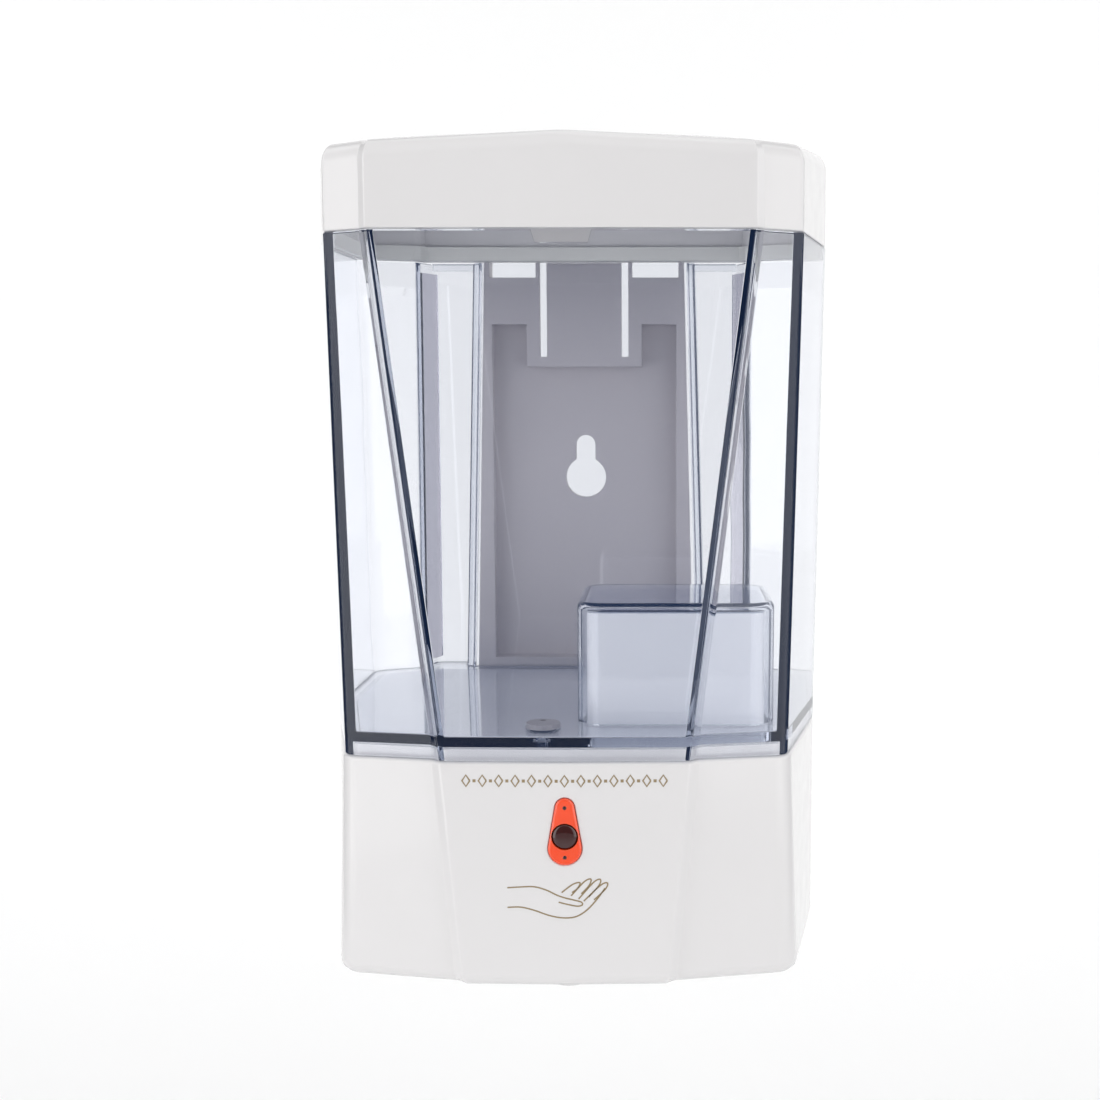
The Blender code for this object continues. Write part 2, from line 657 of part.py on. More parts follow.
def housing_shell(coats):
    """The white lower housing with its lip, bosses and openings."""
    coat = coats["white"]
    top = SEAM - GAP
    levels = ((0.0, 3.4), (0.4, 1.6), (1.4, 0.5), (3.4, 0.0), (top - 5.0, 0.0), (top, 0.8), (top, LIP_OUTER),
              (LIP_TOP, LIP_OUTER), (LIP_TOP, LIP_INNER), (top - 1.0, LIP_INNER), (top - 4.0, HOUSING_WALL),
              (FLOOR + 2.0, HOUSING_WALL), (FLOOR, HOUSING_WALL + 2.0))
    rings = [ring(housing_outline(height), inset, height) for height, inset in levels]
    made = solid("housing_shell", *loft(rings), coat, 30)
    cut(made, box("rear_opening", (-FLANGE_HALF - GAP, FLANGE_FRONT - GAP, FLOOR + 0.4),
                  (FLANGE_HALF + GAP, 1.0, SEAM + 5.0), coat))
    cut(made, box("column_way", (-PLATE_FOOT_HALF - 0.6, PLATE_FRONT - 0.6, PLATE_FOOT - 1.0),
                  (PLATE_FOOT_HALF + 0.6, 1.0, SEAM + 5.0), coat))
    cut(made, box("lip_way", (-FLANGE_HALF - 1.0, -12.4, SEAM - 0.1),
                  (FLANGE_HALF + 1.0, 1.0, SEAM + 5.0), coat))
    cut(made, prism("lens_hole", lens_outline(0.25), "Y", FRONT - 2.0, FRONT + 6.0, coat))
    cut(made, rod("nozzle_hole", NOZZLE, NOZZLE_HOLE_RADIUS, -1.0, FLOOR + 1.0, coat))
    housing_bosses(made, coat)
    housing_door_frame(made, coat)
    x, y = SWITCH
    cut(made, box("switch_slot", (x - 3.9, y - 2.1, -1.0), (x + 3.9, y + 2.1, FLOOR + 1.0), coat))
    return made


def housing_bosses(made, coat):
    """Screw bosses: four for the back plate, three for the pump, four pads for the main board."""
    for index, (x, height) in enumerate(CASE_SCREWS):
        side = 1 if x > 0 else -1
        section = circle(BOSS_RADIUS, ROUND, (x, height))
        fuse(made, prism(f"case_boss_{index}", section, "Y", BOSS_DEEP, FLANGE_FRONT - GAP, coat))
        web = box(f"case_web_{index}", (min(x, x + side * 9.0), -15.5, height - 1.0),
                  (max(x, x + side * 9.0), -8.0, height + 1.0), coat)
        fuse(made, web)
    for index, (x, height) in enumerate(CASE_SCREWS):
        section = circle(SCREW_HOLE_RADIUS, ROUND, (x, height))
        cut(made, prism(f"case_boss_hole_{index}", section, "Y", BOSS_DEEP + 2.0, FLANGE_FRONT + 1.0, coat))
    for index, spot in enumerate(PUMP_EARS):
        fuse(made, rod(f"pump_boss_{index}", spot, PUMP_BOSS_RADIUS, FLOOR - 0.8, PUMP_LOW - GAP, coat))
        cut(made, rod(f"pump_boss_hole_{index}", spot, SCREW_HOLE_RADIUS,
                      PUMP_LOW - 12.0, PUMP_LOW + 1.0, coat))
    for index, spot in enumerate(BOARD_PADS):
        fuse(made, rod(f"board_pad_{index}", spot, PAD_RADIUS, FLOOR - 0.8, PAD_TOP, coat))


def housing_door_frame(made, coat):
    """The battery opening, with a pin lug at each end of the door's hinge."""
    cut(made, box("door_opening", (DOOR_LEFT - 0.4, DOOR_FRONT - 0.4, -1.0),
                  (DOOR_RIGHT + 0.4, DOOR_AXIS_Y + DOOR_BARREL + 0.4, FLOOR + 1.0), coat))
    nose = [(DOOR_AXIS_Y + DOOR_BARREL * math.cos(angle), DOOR_AXIS_HEIGHT + DOOR_BARREL * math.sin(angle))
            for angle in (math.pi / 2 * (1 + step / 4) for step in range(9))]
    root = [(DOOR_AXIS_Y + DOOR_BARREL + 1.5, 0.0), (DOOR_AXIS_Y + DOOR_BARREL + 1.5, 2 * DOOR_BARREL)]
    for index, (low, high) in enumerate(((DOOR_LEFT - 1.5, DOOR_LEFT + DOOR_LUG - GAP),
                                         (DOOR_RIGHT - DOOR_LUG + GAP, DOOR_RIGHT + 1.5))):
        fuse(made, prism(f"door_lug_{index}", nose + root, "X", low, high, coat))
    section = circle(DOOR_PIN_RADIUS + RUNNING, 16, (DOOR_AXIS_Y, DOOR_AXIS_HEIGHT))
    cut(made, prism("door_pin_hole", section, "X", DOOR_LEFT - 0.8, DOOR_RIGHT + 0.8, coat))


def deck(coat):
    """The white cover under the tank's floor, hollow over the motor."""
    outline = rounded(housing_outline(SEAM), LIP_INNER + GAP)
    made = prism("deck", outline, "Z", DECK_LOW, DECK_HIGH, coat)
    cut(made, box("deck_rear", (-70.0, DECK_REAR, DECK_LOW - 1.0), (70.0, 1.0, DECK_HIGH + 1.0), coat))
    grow = WALL + DECK_BLOCK_GAP
    fuse(made, hump("deck_block", grow, DECK_LOW, HUMP_TOP - grow, coat))
    cut(made, hump("deck_hollow", grow + DECK_BLOCK_WALL, DECK_LOW - 1.0,
                   HUMP_TOP - grow - DECK_BLOCK_WALL, coat))
    cut(made, rod("deck_outlet_hole", OUTLET, 3.6, DECK_LOW - 1.0, DECK_HIGH + 1.0, coat))


def case_screws(coat):
    """Four screws through the back plate's flange."""
    for index, (x, height) in enumerate(CASE_SCREWS):
        made = prism(f"case_screw_{index + 1}", circle(3.0, ROUND, (x, height)), "Y", -2.5, -0.5, coat, 40)
        section = circle(SCREW_SHANK_RADIUS, ROUND, (x, height))
        shank = prism(f"case_shank_{index}", section, "Y", -14.0, -2.0, coat)
        fuse(made, shank)


def lens_outline(grow=0.0):
    """Outline (x, height) of the drop-shaped sensor window."""
    low_radius = LENS_BOTTOM_RADIUS + grow
    high_radius = LENS_TOP_RADIUS + grow
    lean = math.asin((low_radius - high_radius) / (LENS_TOP_HEIGHT - LENS_BOTTOM_HEIGHT))
    points = []
    steps = 12
    for step in range(steps + 1):
        angle = lean + (math.pi - 2 * lean) * step / steps
        points.append((high_radius * math.cos(angle), LENS_TOP_HEIGHT + high_radius * math.sin(angle)))
    for step in range(steps + 1):
        angle = math.pi - lean + (math.pi + 2 * lean) * step / steps
        points.append((low_radius * math.cos(angle), LENS_BOTTOM_HEIGHT + low_radius * math.sin(angle)))
    return points


def sensor(coats):
    """Window, infrared filter, board and the three diodes behind the front panel."""
    lens = prism("sensor_lens", lens_outline(), "Y", FRONT - 0.5, FRONT + 3.6, coats["red"], 40)
    hole = circle(FILTER_RADIUS + GAP, ROUND, (0.0, FILTER_HEIGHT))
    cut(lens, prism("filter_hole", hole, "Y", FRONT - 2.0, FRONT + 5.0, coats["red"]))
    filter_face = circle(FILTER_RADIUS, ROUND, (0.0, FILTER_HEIGHT))
    prism("ir_filter", filter_face, "Y", FRONT - 0.7, FRONT + 2.6, coats["dark"], 40)
    diode_coats = {"indicator_led": "red", "ir_emitter": "dark", "ir_receiver": "black"}
    for name, height in LED_HEIGHTS.items():
        radius = 1.9 if name == "ir_receiver" else 1.5
        section = circle(radius, 16, (0.0, height))
        prism(name, section, "Y", FRONT + 4.0, FRONT + 7.3, coats[diode_coats[name]], 40)
    outline = rectangle(-12.0, 12.0, 24.0, 50.0, 1.5, 2)
    prism("sensor_board", outline, "Y", FRONT + 7.6, FRONT + 9.2, coats["board"])


def nozzle(coats):
    """Outlet spout through the floor, with its rubber valve."""
    turned("nozzle", ((2.0, 14.0), (2.0, -0.6), (3.7, -0.6), (3.7, -3.4), (4.4, -3.4), (5.0, -1.4),
                      (5.0, FLOOR + GAP), (7.2, FLOOR + GAP), (7.2, FLOOR + 1.8), (3.6, FLOOR + 1.8),
                      (3.0, 14.0)), NOZZLE, coats["white"])
    turned("nozzle_valve", ((0.5, -0.9), (3.4, -0.9), (3.4, -2.4), (1.6, -3.1), (0.5, -3.1)), NOZZLE,
           coats["silicone"])


# ---------------------------------------------------------------- pump and drive

def on_rotor(index, radius):
    """A point at one roller's angle round the rotor."""
    angle = math.radians(90.0) + 2 * math.pi * index / ROLLER_COUNT
    return ROTOR[0] + radius * math.cos(angle), ROTOR[1] + radius * math.sin(angle)


def pump_body(coats):
    """Race with two tube ways, a bearing hole and three screw ears, and its cover."""
    coat = coats["grey"]
    floor = PUMP_LOW + 1.5
    made = rod("pump_housing", ROTOR, PUMP_RADIUS, PUMP_LOW, PUMP_HIGH, coat, LARGE_ROUND)
    for index, (x, y) in enumerate(PUMP_EARS):
        reach = Vector((x - ROTOR[0], y - ROTOR[1]))
        along = reach.normalized()
        across = Vector((-along.y, along.x)) * 3.6
        start = Vector(ROTOR) + along * (PUMP_RADIUS - 2.0)
        end = Vector((x, y)) + along * 3.4
        outline = [tuple(spot) for spot in (start - across, end - across, end + across, start + across)]
        fuse(made, prism(f"pump_ear_{index}", outline, "Z", PUMP_LOW, PUMP_LOW + 2.6, coat))
        cut(made, rod(f"pump_ear_hole_{index}", (x, y), 1.6, PUMP_LOW - 1.0, PUMP_LOW + 4.0, coat))
    cut(made, rod("pump_race", ROTOR, RACE_RADIUS, floor, PUMP_HIGH + 1.0, coat, LARGE_ROUND))
    cut(made, rod("pump_bearing", ROTOR, 1.5 + RUNNING, PUMP_LOW - 1.0, floor + 1.0, coat))
    for side in (-1, 1):
        x = ROTOR[0] + side * TUBE_TRACK
        cut(made, box(f"tube_way_{side}", (x - 2.3, ROTOR[1] - 30.0, 34.6), (x + 2.3, ROTOR[1], PUMP_HIGH + 1.0),
                      coat))
    cover = prism("pump_cover", rectangle(3.0, 48.0, -85.0, -50.0, 3.0), "Z", COVER_LOW, COVER_HIGH, coat)
    cut(cover, rod("cover_hole", ROTOR, 3.3, COVER_LOW - 1.0, COVER_HIGH + 1.0, coat))
    cut(cover, rod("cover_axle_hole", IDLER, 1.0 + RUNNING, COVER_LOW - 1.0, COVER_HIGH + 1.0, coat))
    for index, spot in enumerate(PUMP_EARS):
        seat = PUMP_LOW + 2.6 + GAP
        screw = rod(f"pump_screw_{index + 1}", spot, 2.8, seat, seat + 1.5, coats["steel"], 16)
        fuse(screw, rod(f"pump_shank_{index}", spot, SCREW_SHANK_RADIUS,
                        PUMP_LOW - 8.0, seat + 0.5, coats["steel"], 16))


def pump_rotor(coats):
    """Two discs on a shaft, three rollers on pins between them, and the output gear."""
    made = solid("pump_rotor", *rotor_skin(), coats["acetal"], 40)
    for index in range(ROLLER_COUNT):
        spot = on_rotor(index, ROLLER_TRACK)
        hole = rod(f"roller_pin_hole_{index}", spot, ROLLER_PIN_RADIUS + RUNNING, 31.0, 43.0, coats["acetal"])
        cut(made, hole)
        pin = rod(f"roller_pin_{index + 1}", spot, ROLLER_PIN_RADIUS, 32.2, 42.0, coats["steel"])
        pivot(pin, *spot, ROLLER_LOW)
        inner = ROLLER_PIN_RADIUS + RUNNING
        roller = turned(f"roller_{index + 1}", ((inner, ROLLER_LOW), (ROLLER_RADIUS, ROLLER_LOW),
                                                (ROLLER_RADIUS, ROLLER_HIGH), (inner, ROLLER_HIGH)),
                        spot, coats["acetal"])
        pivot(roller, *spot, ROLLER_LOW)
    pivot(made, *ROTOR, PUMP_LOW)
    gear = gear_blank("output_gear", ROTOR, OUTPUT_TEETH, 0.0, *LOWER_GEARS, coats["acetal"])
    cut(gear, rod("output_bore", ROTOR, 2.0 + RUNNING,
                  LOWER_GEARS[0] - 1.0, LOWER_GEARS[1] + 1.0, coats["acetal"]))
    pivot(gear, *ROTOR, PUMP_LOW)


def rotor_skin():
    """Rings of the rotor's stepped shaft and discs, from its lower stub to its upper end."""
    profile = ((1.5, 30.3), (1.5, 31.9), (11.0, 31.9), (11.0, 33.2), (2.6, 33.2), (2.6, 40.8), (11.0, 40.8),
               (11.0, 42.2), (3.0, 42.2), (3.0, LOWER_GEARS[0] - 0.2), (2.0, LOWER_GEARS[0] - 0.2),
               (2.0, LOWER_GEARS[1]))
    return loft([[(x, y, height) for x, y in circle(radius, LARGE_ROUND, ROTOR)] for radius, height in profile])


def gear_outline(teeth, centre, phase, backlash=0.12):
    """Involute spur gear outline, with a tooth centred on the angle phase."""
    pitch = MODULE * teeth / 2
    pressure = math.radians(20.0)
    base = pitch * math.cos(pressure)
    tip = pitch + 0.9 * MODULE
    root = pitch - 1.25 * MODULE
    half_tooth = math.pi / (2 * teeth) - backlash / (2 * pitch) + involute(pressure)

    def flank(radius):
        """Half the tooth's angle at a radius."""
        return half_tooth - involute(math.acos(min(base / radius, 1.0)))

    levels = (root, tip) if teeth > 20 else (root, max(pitch - 0.3 * MODULE, base), tip)
    points = []
    for tooth in range(teeth):
        middle = phase + 2 * math.pi * tooth / teeth
        for side, order in ((-1, levels), (1, reversed(levels))):
            for radius in order:
                angle = middle + side * flank(max(radius, base))
                points.append((centre[0] + radius * math.cos(angle), centre[1] + radius * math.sin(angle)))
    return points


def involute(angle):
    """The involute function."""
    return math.tan(angle) - angle


def gear_blank(name, centre, teeth, phase, low, high, coat):
    """A spur gear between two heights."""
    return prism(name, gear_outline(teeth, centre, phase), "Z", low, high, coat)


def mating_phase(direction, driver_phase, driver_teeth, teeth):
    """Phase of a gear whose gap meets the driver's tooth along a direction."""
    pitch_angle = 2 * math.pi / driver_teeth
    offset = (direction - driver_phase) % pitch_angle
    carried = offset * driver_teeth / teeth
    return direction + math.pi + math.pi / teeth + carried


def drive_train(coats):
    """Idler, motor pinion, plates, motor and axle."""
    lower_phase = mating_phase(0.0, 0.0, OUTPUT_TEETH, IDLER_SMALL_TEETH)
    idler = gear_blank("idler_gear", IDLER, IDLER_SMALL_TEETH, lower_phase, LOWER_GEARS[0], UPPER_GEARS[0] + 0.2,
                       coats["acetal"])
    rim = gear_blank("idler_rim", IDLER, IDLER_LARGE_TEETH, 0.0, *UPPER_GEARS, coats["acetal"])
    fuse(idler, rim)
    cut(idler, rod("idler_bore", IDLER, 1.0 + RUNNING, LOWER_GEARS[0] - 1.0, UPPER_GEARS[1] + 1.0,
                   coats["acetal"]))
    pivot(idler, *IDLER, LOWER_GEARS[0])
    rod("idler_axle", IDLER, 1.0, COVER_LOW + 0.2, MOTOR_PLATE[1] - 0.2, coats["steel"], 16)
    motor_phase = mating_phase(MOTOR_ANGLE, 0.0, IDLER_LARGE_TEETH, MOTOR_TEETH)
    pinion = gear_blank("motor_pinion", MOTOR, MOTOR_TEETH, motor_phase, UPPER_GEARS[0] - 0.2,
                        UPPER_GEARS[1] + 0.4, coats["brass"])
    fuse(pinion, rod("motor_shaft", MOTOR, 1.0, UPPER_GEARS[1], 63.0, coats["steel"], 16))
    pivot(pinion, *MOTOR, UPPER_GEARS[0])
    motor_plate(coats)
    motor(coats)


def motor_plate(coats):
    """The upper gear plate on four posts."""
    coat = coats["grey"]
    made = prism("motor_plate", rectangle(3.0, 48.0, -85.0, -50.0, 3.0), "Z", *MOTOR_PLATE, coat)
    for index, spot in enumerate(GEAR_POSTS):
        fuse(made, rod(f"gear_post_{index}", spot, 2.0, COVER_HIGH + GAP, MOTOR_PLATE[0] + 0.5, coat, 16))
    cut(made, rod("plate_axle_hole", IDLER, 1.0 + RUNNING, MOTOR_PLATE[0] - 1.0, MOTOR_PLATE[1] + 1.0, coat))
    cut(made, rod("plate_motor_hole", MOTOR, 3.5, MOTOR_PLATE[0] - 1.0, MOTOR_PLATE[1] + 1.0, coat))


def motor(coats):
    """Flat-sided can with its nose, and the end cap."""
    low = MOTOR_PLATE[1] + GAP
    high = low + 25.0
    x, y = MOTOR
    outline = []
    half_flat = 7.5
    can_radius = 10.0
    spread = math.asin(half_flat / can_radius)
    for side in (0.0, math.pi):
        for step in range(9):
            angle = side - spread + 2 * spread * step / 8
            outline.append((x + can_radius * math.cos(angle), y + can_radius * math.sin(angle)))
    made = prism("motor_can", outline, "Z", low, high, coats["steel"], 30)
    fuse(made, rod("motor_nose", MOTOR, 3.1, MOTOR_PLATE[0], low + 0.5, coats["steel"]))
    cut(made, rod("motor_bore", MOTOR, 1.0 + RUNNING, MOTOR_PLATE[0] - 1.0, 64.0, coats["steel"], 16))
    shrunk = [(x + (a - x) * 0.96, y + (b - y) * 0.96) for a, b in outline]
    prism("motor_end_cap", shrunk, "Z", high + GAP, high + 2.6, coats["black"])


def pump_tube(coats):
    """Silicone tube: outlet, down to the pump, round the race, and on to the nozzle."""
    middle = (ROLLER_LOW + ROLLER_HIGH) / 2
    left = ROTOR[0] - TUBE_TRACK
    route = [(*OUTLET, 52.1), (*OUTLET, 48.5), (OUTLET[0] + 1.5, OUTLET[1] + 1.0, 43.0),
             (left - 4.5, ROTOR[1] - 27.0, middle + 1.4), (left - 0.6, ROTOR[1] - 20.0, middle),
             (left, ROTOR[1] - 12.0, middle), (left, ROTOR[1] - 5.0, middle)]
    for step in range(9):
        angle = math.pi - math.pi * step / 8
        route.append((ROTOR[0] + TUBE_TRACK * math.cos(angle), ROTOR[1] + TUBE_TRACK * math.sin(angle), middle))
    right = ROTOR[0] + TUBE_TRACK
    route += [(right, ROTOR[1] - 5.0, middle), (right, ROTOR[1] - 12.0, middle),
              (right - 0.8, ROTOR[1] - 20.0, middle), (right - 6.0, ROTOR[1] - 27.0, middle - 2.5),
              (18.0, -97.5, 31.0), (8.0, -99.0, 26.5), (1.8, -98.0, 22.5), (*NOZZLE, 18.0), (*NOZZLE, 14.4)]
    wire("pump_tube", route, TUBE_RADIUS, coats["silicone"], 60)


# ---------------------------------------------------------------- batteries, boards and switch

def battery_pieces(coats):
    """Tray, cells and contact plates."""
    tray = box("battery_tray", (TRAY_LEFT, TRAY_FRONT, TRAY_LOW),
               (TRAY_RIGHT, TRAY_REAR, TRAY_HIGH), coats["black"])
    cut(tray, box("tray_hollow", (TRAY_LEFT + TRAY_WALL, TRAY_FRONT + TRAY_WALL, TRAY_LOW - 1.0),
                  (TRAY_RIGHT - TRAY_WALL, TRAY_REAR - TRAY_WALL, TRAY_HIGH - TRAY_WALL), coats["black"]))
    first = TRAY_RIGHT - TRAY_WALL - CELL_PITCH / 2
    front = TRAY_FRONT + TRAY_WALL
    rear = TRAY_REAR - TRAY_WALL
    for index in range(CELL_COUNT):
        battery_cell(index, first - index * CELL_PITCH, front + 1.4, rear - 1.4, coats)
    spans = (("front", 0, 1), ("front", 2, 3), ("rear", 1, 2), ("rear", 0, 0), ("rear", 3, 3))
    for number, (end, start, stop) in enumerate(spans):
        centres = sorted((first - start * CELL_PITCH, first - stop * CELL_PITCH))
        face = front if end == "front" else rear
        inward = 1.0 if end == "front" else -1.0
        sides = sorted((face + inward * GAP, face + inward * 0.8))
        box(f"contact_{number + 1}", (centres[0] - 4.0, sides[0], CELL_HEIGHT - 4.0),
            (centres[1] + 4.0, sides[1], CELL_HEIGHT + 4.0), coats["steel"])


def battery_cell(index, x, front, rear, coats):
    """One cell, its raised end alternating front and back."""
    nub = 1.2
    body_front = front + (nub if index % 2 == 0 else 0.0)
    body_rear = rear - (0.0 if index % 2 == 0 else nub)
    made = prism(f"battery_cell_{index + 1}", circle(CELL_RADIUS, ROUND, (x, CELL_HEIGHT)), "Y", body_front,
                 body_rear, coats["cell"], 40)
    fuse(made, prism(f"cell_nub_{index}", circle(2.6, 16, (x, CELL_HEIGHT)), "Y",
                     front if index % 2 == 0 else body_rear - 0.5,
                     body_front + 0.5 if index % 2 == 0 else rear, coats["cell"]))


def battery_door(coats):
    """Flat door with a hinge barrel between the housing's lugs, a latch tab and finger ribs."""
    coat = coats["white"]
    made = box("battery_door", (DOOR_LEFT, DOOR_FRONT, 0.0),
               (DOOR_RIGHT, DOOR_AXIS_Y - DOOR_BARREL - GAP, DOOR_THICK), coat)
    barrel = circle(DOOR_BARREL, ROUND, (DOOR_AXIS_Y, DOOR_AXIS_HEIGHT))
    ends = (DOOR_LEFT + DOOR_LUG, DOOR_RIGHT - DOOR_LUG)
    fuse(made, prism("door_barrel", barrel, "X", *ends, coat, 40))
    neck = rectangle(DOOR_AXIS_Y - DOOR_BARREL - 1.0, DOOR_AXIS_Y, 0.02, DOOR_THICK - 0.02)
    fuse(made, prism("door_neck", neck, "X", *ends, coat))
    hole = circle(DOOR_PIN_RADIUS + RUNNING, 16, (DOOR_AXIS_Y, DOOR_AXIS_HEIGHT))
    cut(made, prism("door_barrel_hole", hole, "X", DOOR_LEFT, DOOR_RIGHT, coat))
    middle = (DOOR_LEFT + DOOR_RIGHT) / 2
    latch = ((DOOR_FRONT + 0.6, 1.0), (DOOR_FRONT + 1.8, 1.0), (DOOR_FRONT + 1.8, 5.2), (DOOR_FRONT + 0.6, 5.2))
    fuse(made, prism("door_latch", latch, "X", middle - 6.0, middle + 6.0, coat))
    for rib in range(3):
        y = DOOR_FRONT + 5.0 + 2.4 * rib
        cut(made, box(f"door_groove_{rib}", (middle - 9.0, y, -1.0), (middle + 9.0, y + 1.1, 0.6), coat))
    pivot(made, middle, DOOR_AXIS_Y, DOOR_AXIS_HEIGHT)
    pin = circle(DOOR_PIN_RADIUS, 16, (DOOR_AXIS_Y, DOOR_AXIS_HEIGHT))
    prism("door_pin", pin, "X", DOOR_LEFT - 0.5, DOOR_RIGHT + 0.5, coats["steel"], 40)


def electronics(coats):
    """Main board with its chip and capacitor, the switch, and the leads."""
    board = prism("main_board", rectangle(*BOARD, 1.5, 2), "Z", BOARD_LOW, BOARD_HIGH, coats["board"])
    fuse(board, box("board_chip", (17.0, -72.0, 9.0), (27.0, -64.0, 12.0), coats["black"]))
    fuse(board, rod("board_capacitor", (33.0, -60.0), 3.2, 9.0, 19.0, coats["black"]))
    x, y = SWITCH
    box("switch_body", (x - 6.5, y - 4.0, FLOOR + 1.9), (x + 6.5, y + 4.0, FLOOR + 7.5), coats["black"])
    knob = box("switch_knob", (x - 3.6, y - 1.8, -0.9), (x - 0.4, y + 1.8, FLOOR - 0.2), coats["black"])
    slider = box("switch_slider", (x - 5.2, y - 3.0, FLOOR + 0.3),
                 (x + 1.2, y + 3.0, FLOOR + 1.6), coats["black"])
    fuse(knob, slider)
    fuse(knob, box("switch_stem", (x - 3.2, y - 1.5, FLOOR - 1.0),
                   (x - 0.8, y + 1.5, FLOOR + 1.0), coats["black"]))
    pivot(knob, x - 2.0, y, FLOOR)
    wire("motor_lead", ((38.0, -88.0, 10.5), (43.0, -89.5, 14.0), (50.0, -88.5, 26.0), (51.0, -87.5, 44.0),
                        (46.0, -86.8, 56.0), (41.0, -86.0, 66.0), (37.6, -82.0, 78.0), (36.4, -78.5, 84.6)),
         0.7, coats["lead"], 24)
    wire("battery_lead", ((-8.0, -20.5, 18.0), (-2.0, -19.0, 17.0), (5.0, -24.0, 14.0), (7.0, -34.0, 12.0),
                          (13.0, -41.0, 11.0), (18.0, -48.0, 10.8), (21.0, -52.5, 10.6)), 0.7, coats["lead"], 18)
    wire("sensor_lead", ((11.0, -101.2, 25.2), (12.5, -100.0, 20.0), (14.0, -95.0, 14.0), (15.0, -89.0, 11.2),
                         (15.0, -84.0, 10.6)), 0.7, coats["lead"], 14)


def build():
    """Every piece of the dispenser."""
    for old in list(bpy.data.objects):
        bpy.data.objects.remove(old, do_unlink=True)
    coats = finishes()
    housing_shell(coats)
    back_plate(coats)
    tank(coats["clear"])
    outlet_pieces(coats)
    lid(coats)
    lid_seal(coats["silicone"])
    hinge_pins(coats["steel"])
    deck(coats["white"])
    case_screws(coats["steel"])
    sensor(coats)
    nozzle(coats)
    pump_body(coats)
    pump_rotor(coats)
    drive_train(coats)
    pump_tube(coats)
    battery_pieces(coats)
    battery_door(coats)
    electronics(coats)


build()
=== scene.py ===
"""Looks of the wall-mounted sensor soap dispenser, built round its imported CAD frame.

Sizes are in millimetres with heights above the housing's underside, as in the CAD, and place() turns them
into the frame's metres. X is to the right, Y to the wall, which is the plane y = 0.
"""
import json
import math

import bmesh
import bpy
from mathutils import Matrix, Vector


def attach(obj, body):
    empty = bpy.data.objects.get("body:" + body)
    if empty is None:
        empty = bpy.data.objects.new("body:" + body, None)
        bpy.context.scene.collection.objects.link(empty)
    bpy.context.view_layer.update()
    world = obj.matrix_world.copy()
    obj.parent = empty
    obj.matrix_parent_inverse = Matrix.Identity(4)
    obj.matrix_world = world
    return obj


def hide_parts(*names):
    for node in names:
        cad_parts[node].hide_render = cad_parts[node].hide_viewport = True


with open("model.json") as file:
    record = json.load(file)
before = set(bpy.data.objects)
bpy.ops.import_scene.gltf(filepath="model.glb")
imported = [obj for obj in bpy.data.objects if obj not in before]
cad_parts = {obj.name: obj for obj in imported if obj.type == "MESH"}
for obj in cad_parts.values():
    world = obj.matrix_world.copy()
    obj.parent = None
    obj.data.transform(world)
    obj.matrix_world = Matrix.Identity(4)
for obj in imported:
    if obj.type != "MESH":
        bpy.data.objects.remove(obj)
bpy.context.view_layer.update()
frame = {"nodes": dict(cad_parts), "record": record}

MM = 0.001
ORIGIN_HEIGHT = 100.0         # of the frame's origin above the underside
GAP = 0.3                     # between touching pieces
PAST = 1.0                    # how far a cutting tool runs past a face

# ---------------------------------------------------------------- camera

CAMERA_PLACE = (0.0246, -0.4762, 0.0452)
CAMERA_PITCH = math.radians(5.951)
CAMERA_LENS = 50.86
CAMERA_SHIFT = -0.1064


def add_camera():
    """The camera in front of the dispenser, a little to the right and tilted down."""
    data = bpy.data.cameras.new("camera")
    data.sensor_width = 36.0
    data.lens = CAMERA_LENS
    data.shift_x = CAMERA_SHIFT
    data.clip_start = 0.01
    data.clip_end = 20.0
    camera = bpy.data.objects.new("camera", data)
    camera.location = CAMERA_PLACE
    camera.rotation_euler = (math.pi / 2 - CAMERA_PITCH, 0.0, 0.0)
    bpy.context.scene.collection.objects.link(camera)
    bpy.context.scene.camera = camera


add_camera()

# ---------------------------------------------------------------- sizes

FLOOR = 2.6
SEAM = 56.2
TANK_FLOOR_UNDER = 59.3
TANK_FLOOR = 61.6
TANK_RIM = 181.8
FRONT = -111.5
WALL = 2.2
HOUSING_WALL = 2.4

LID_FRONT_TOP = 204.2
LID_BOTTOM = TANK_RIM + GAP
LID_FILLET = 4.2
LID_EDGE_INSET = 2.8
LID_FOOT_EDGE = 0.5
LID_INNER_EDGE = 0.3
LID_REAR = -7.5
LID_CROWN = 3.6
LID_CROWN_REACH = 57.0
LID_RISE = 6.8
LID_PEAK_Y = -43.5
HINGE_Y = -3.6
HINGE_HEIGHT = 205.4
HINGE_PIN_RADIUS = 1.28
KNUCKLE_RADIUS = 3.0
KNUCKLES = ((14.0, 19.7), (25.3, 31.0))
KNUCKLE_ARC = (100.0, -100.0)           # degrees round the hinge, from above to below
KNUCKLE_WEB = (-2.6, 2.2)               # lower and upper end of its root, from the hinge's height
PIN_HOLE_SPAN = (13.0, 32.0)

# Painted shade: dark tinted strips inside the slanted rear corners of the tank
SHADE_STRIP_SECTION = ((47.9, -13.1), (44.7, -4.3), (44.1, -4.5), (47.3, -13.3))
SHADE_STRIP_FOOT = TANK_FLOOR + 2.0
SHADE_STRIP_TOP = TANK_RIM - 3.0

HUMP_LEFT = 1.9
HUMP_RIGHT = 51.5
HUMP_FRONT = -94.0
HUMP_REAR = -53.5
HUMP_TOP = 92.0
HUMP_CORNER = 7.0
HUMP_WALL = 1.2
HUMP_DOME = 1.6               # rounding of its top edge
HUMP_UNDER = 1.0              # rounding of its inner top edge
# Painted shade: a dark tinted sheet under the hump's top
HUMP_SHADE_INSET = HUMP_WALL + 1.3
HUMP_SHADE_THICK = 0.6
OUTLET = (-6.0, -98.0)
OUTLET_RADIUS = 1.6
SPIGOT_RADIUS = 3.2
SPIGOT_FOOT = 52.5
NOZZLE = (0.0, -97.0)
NOZZLE_HOLE = 5.3

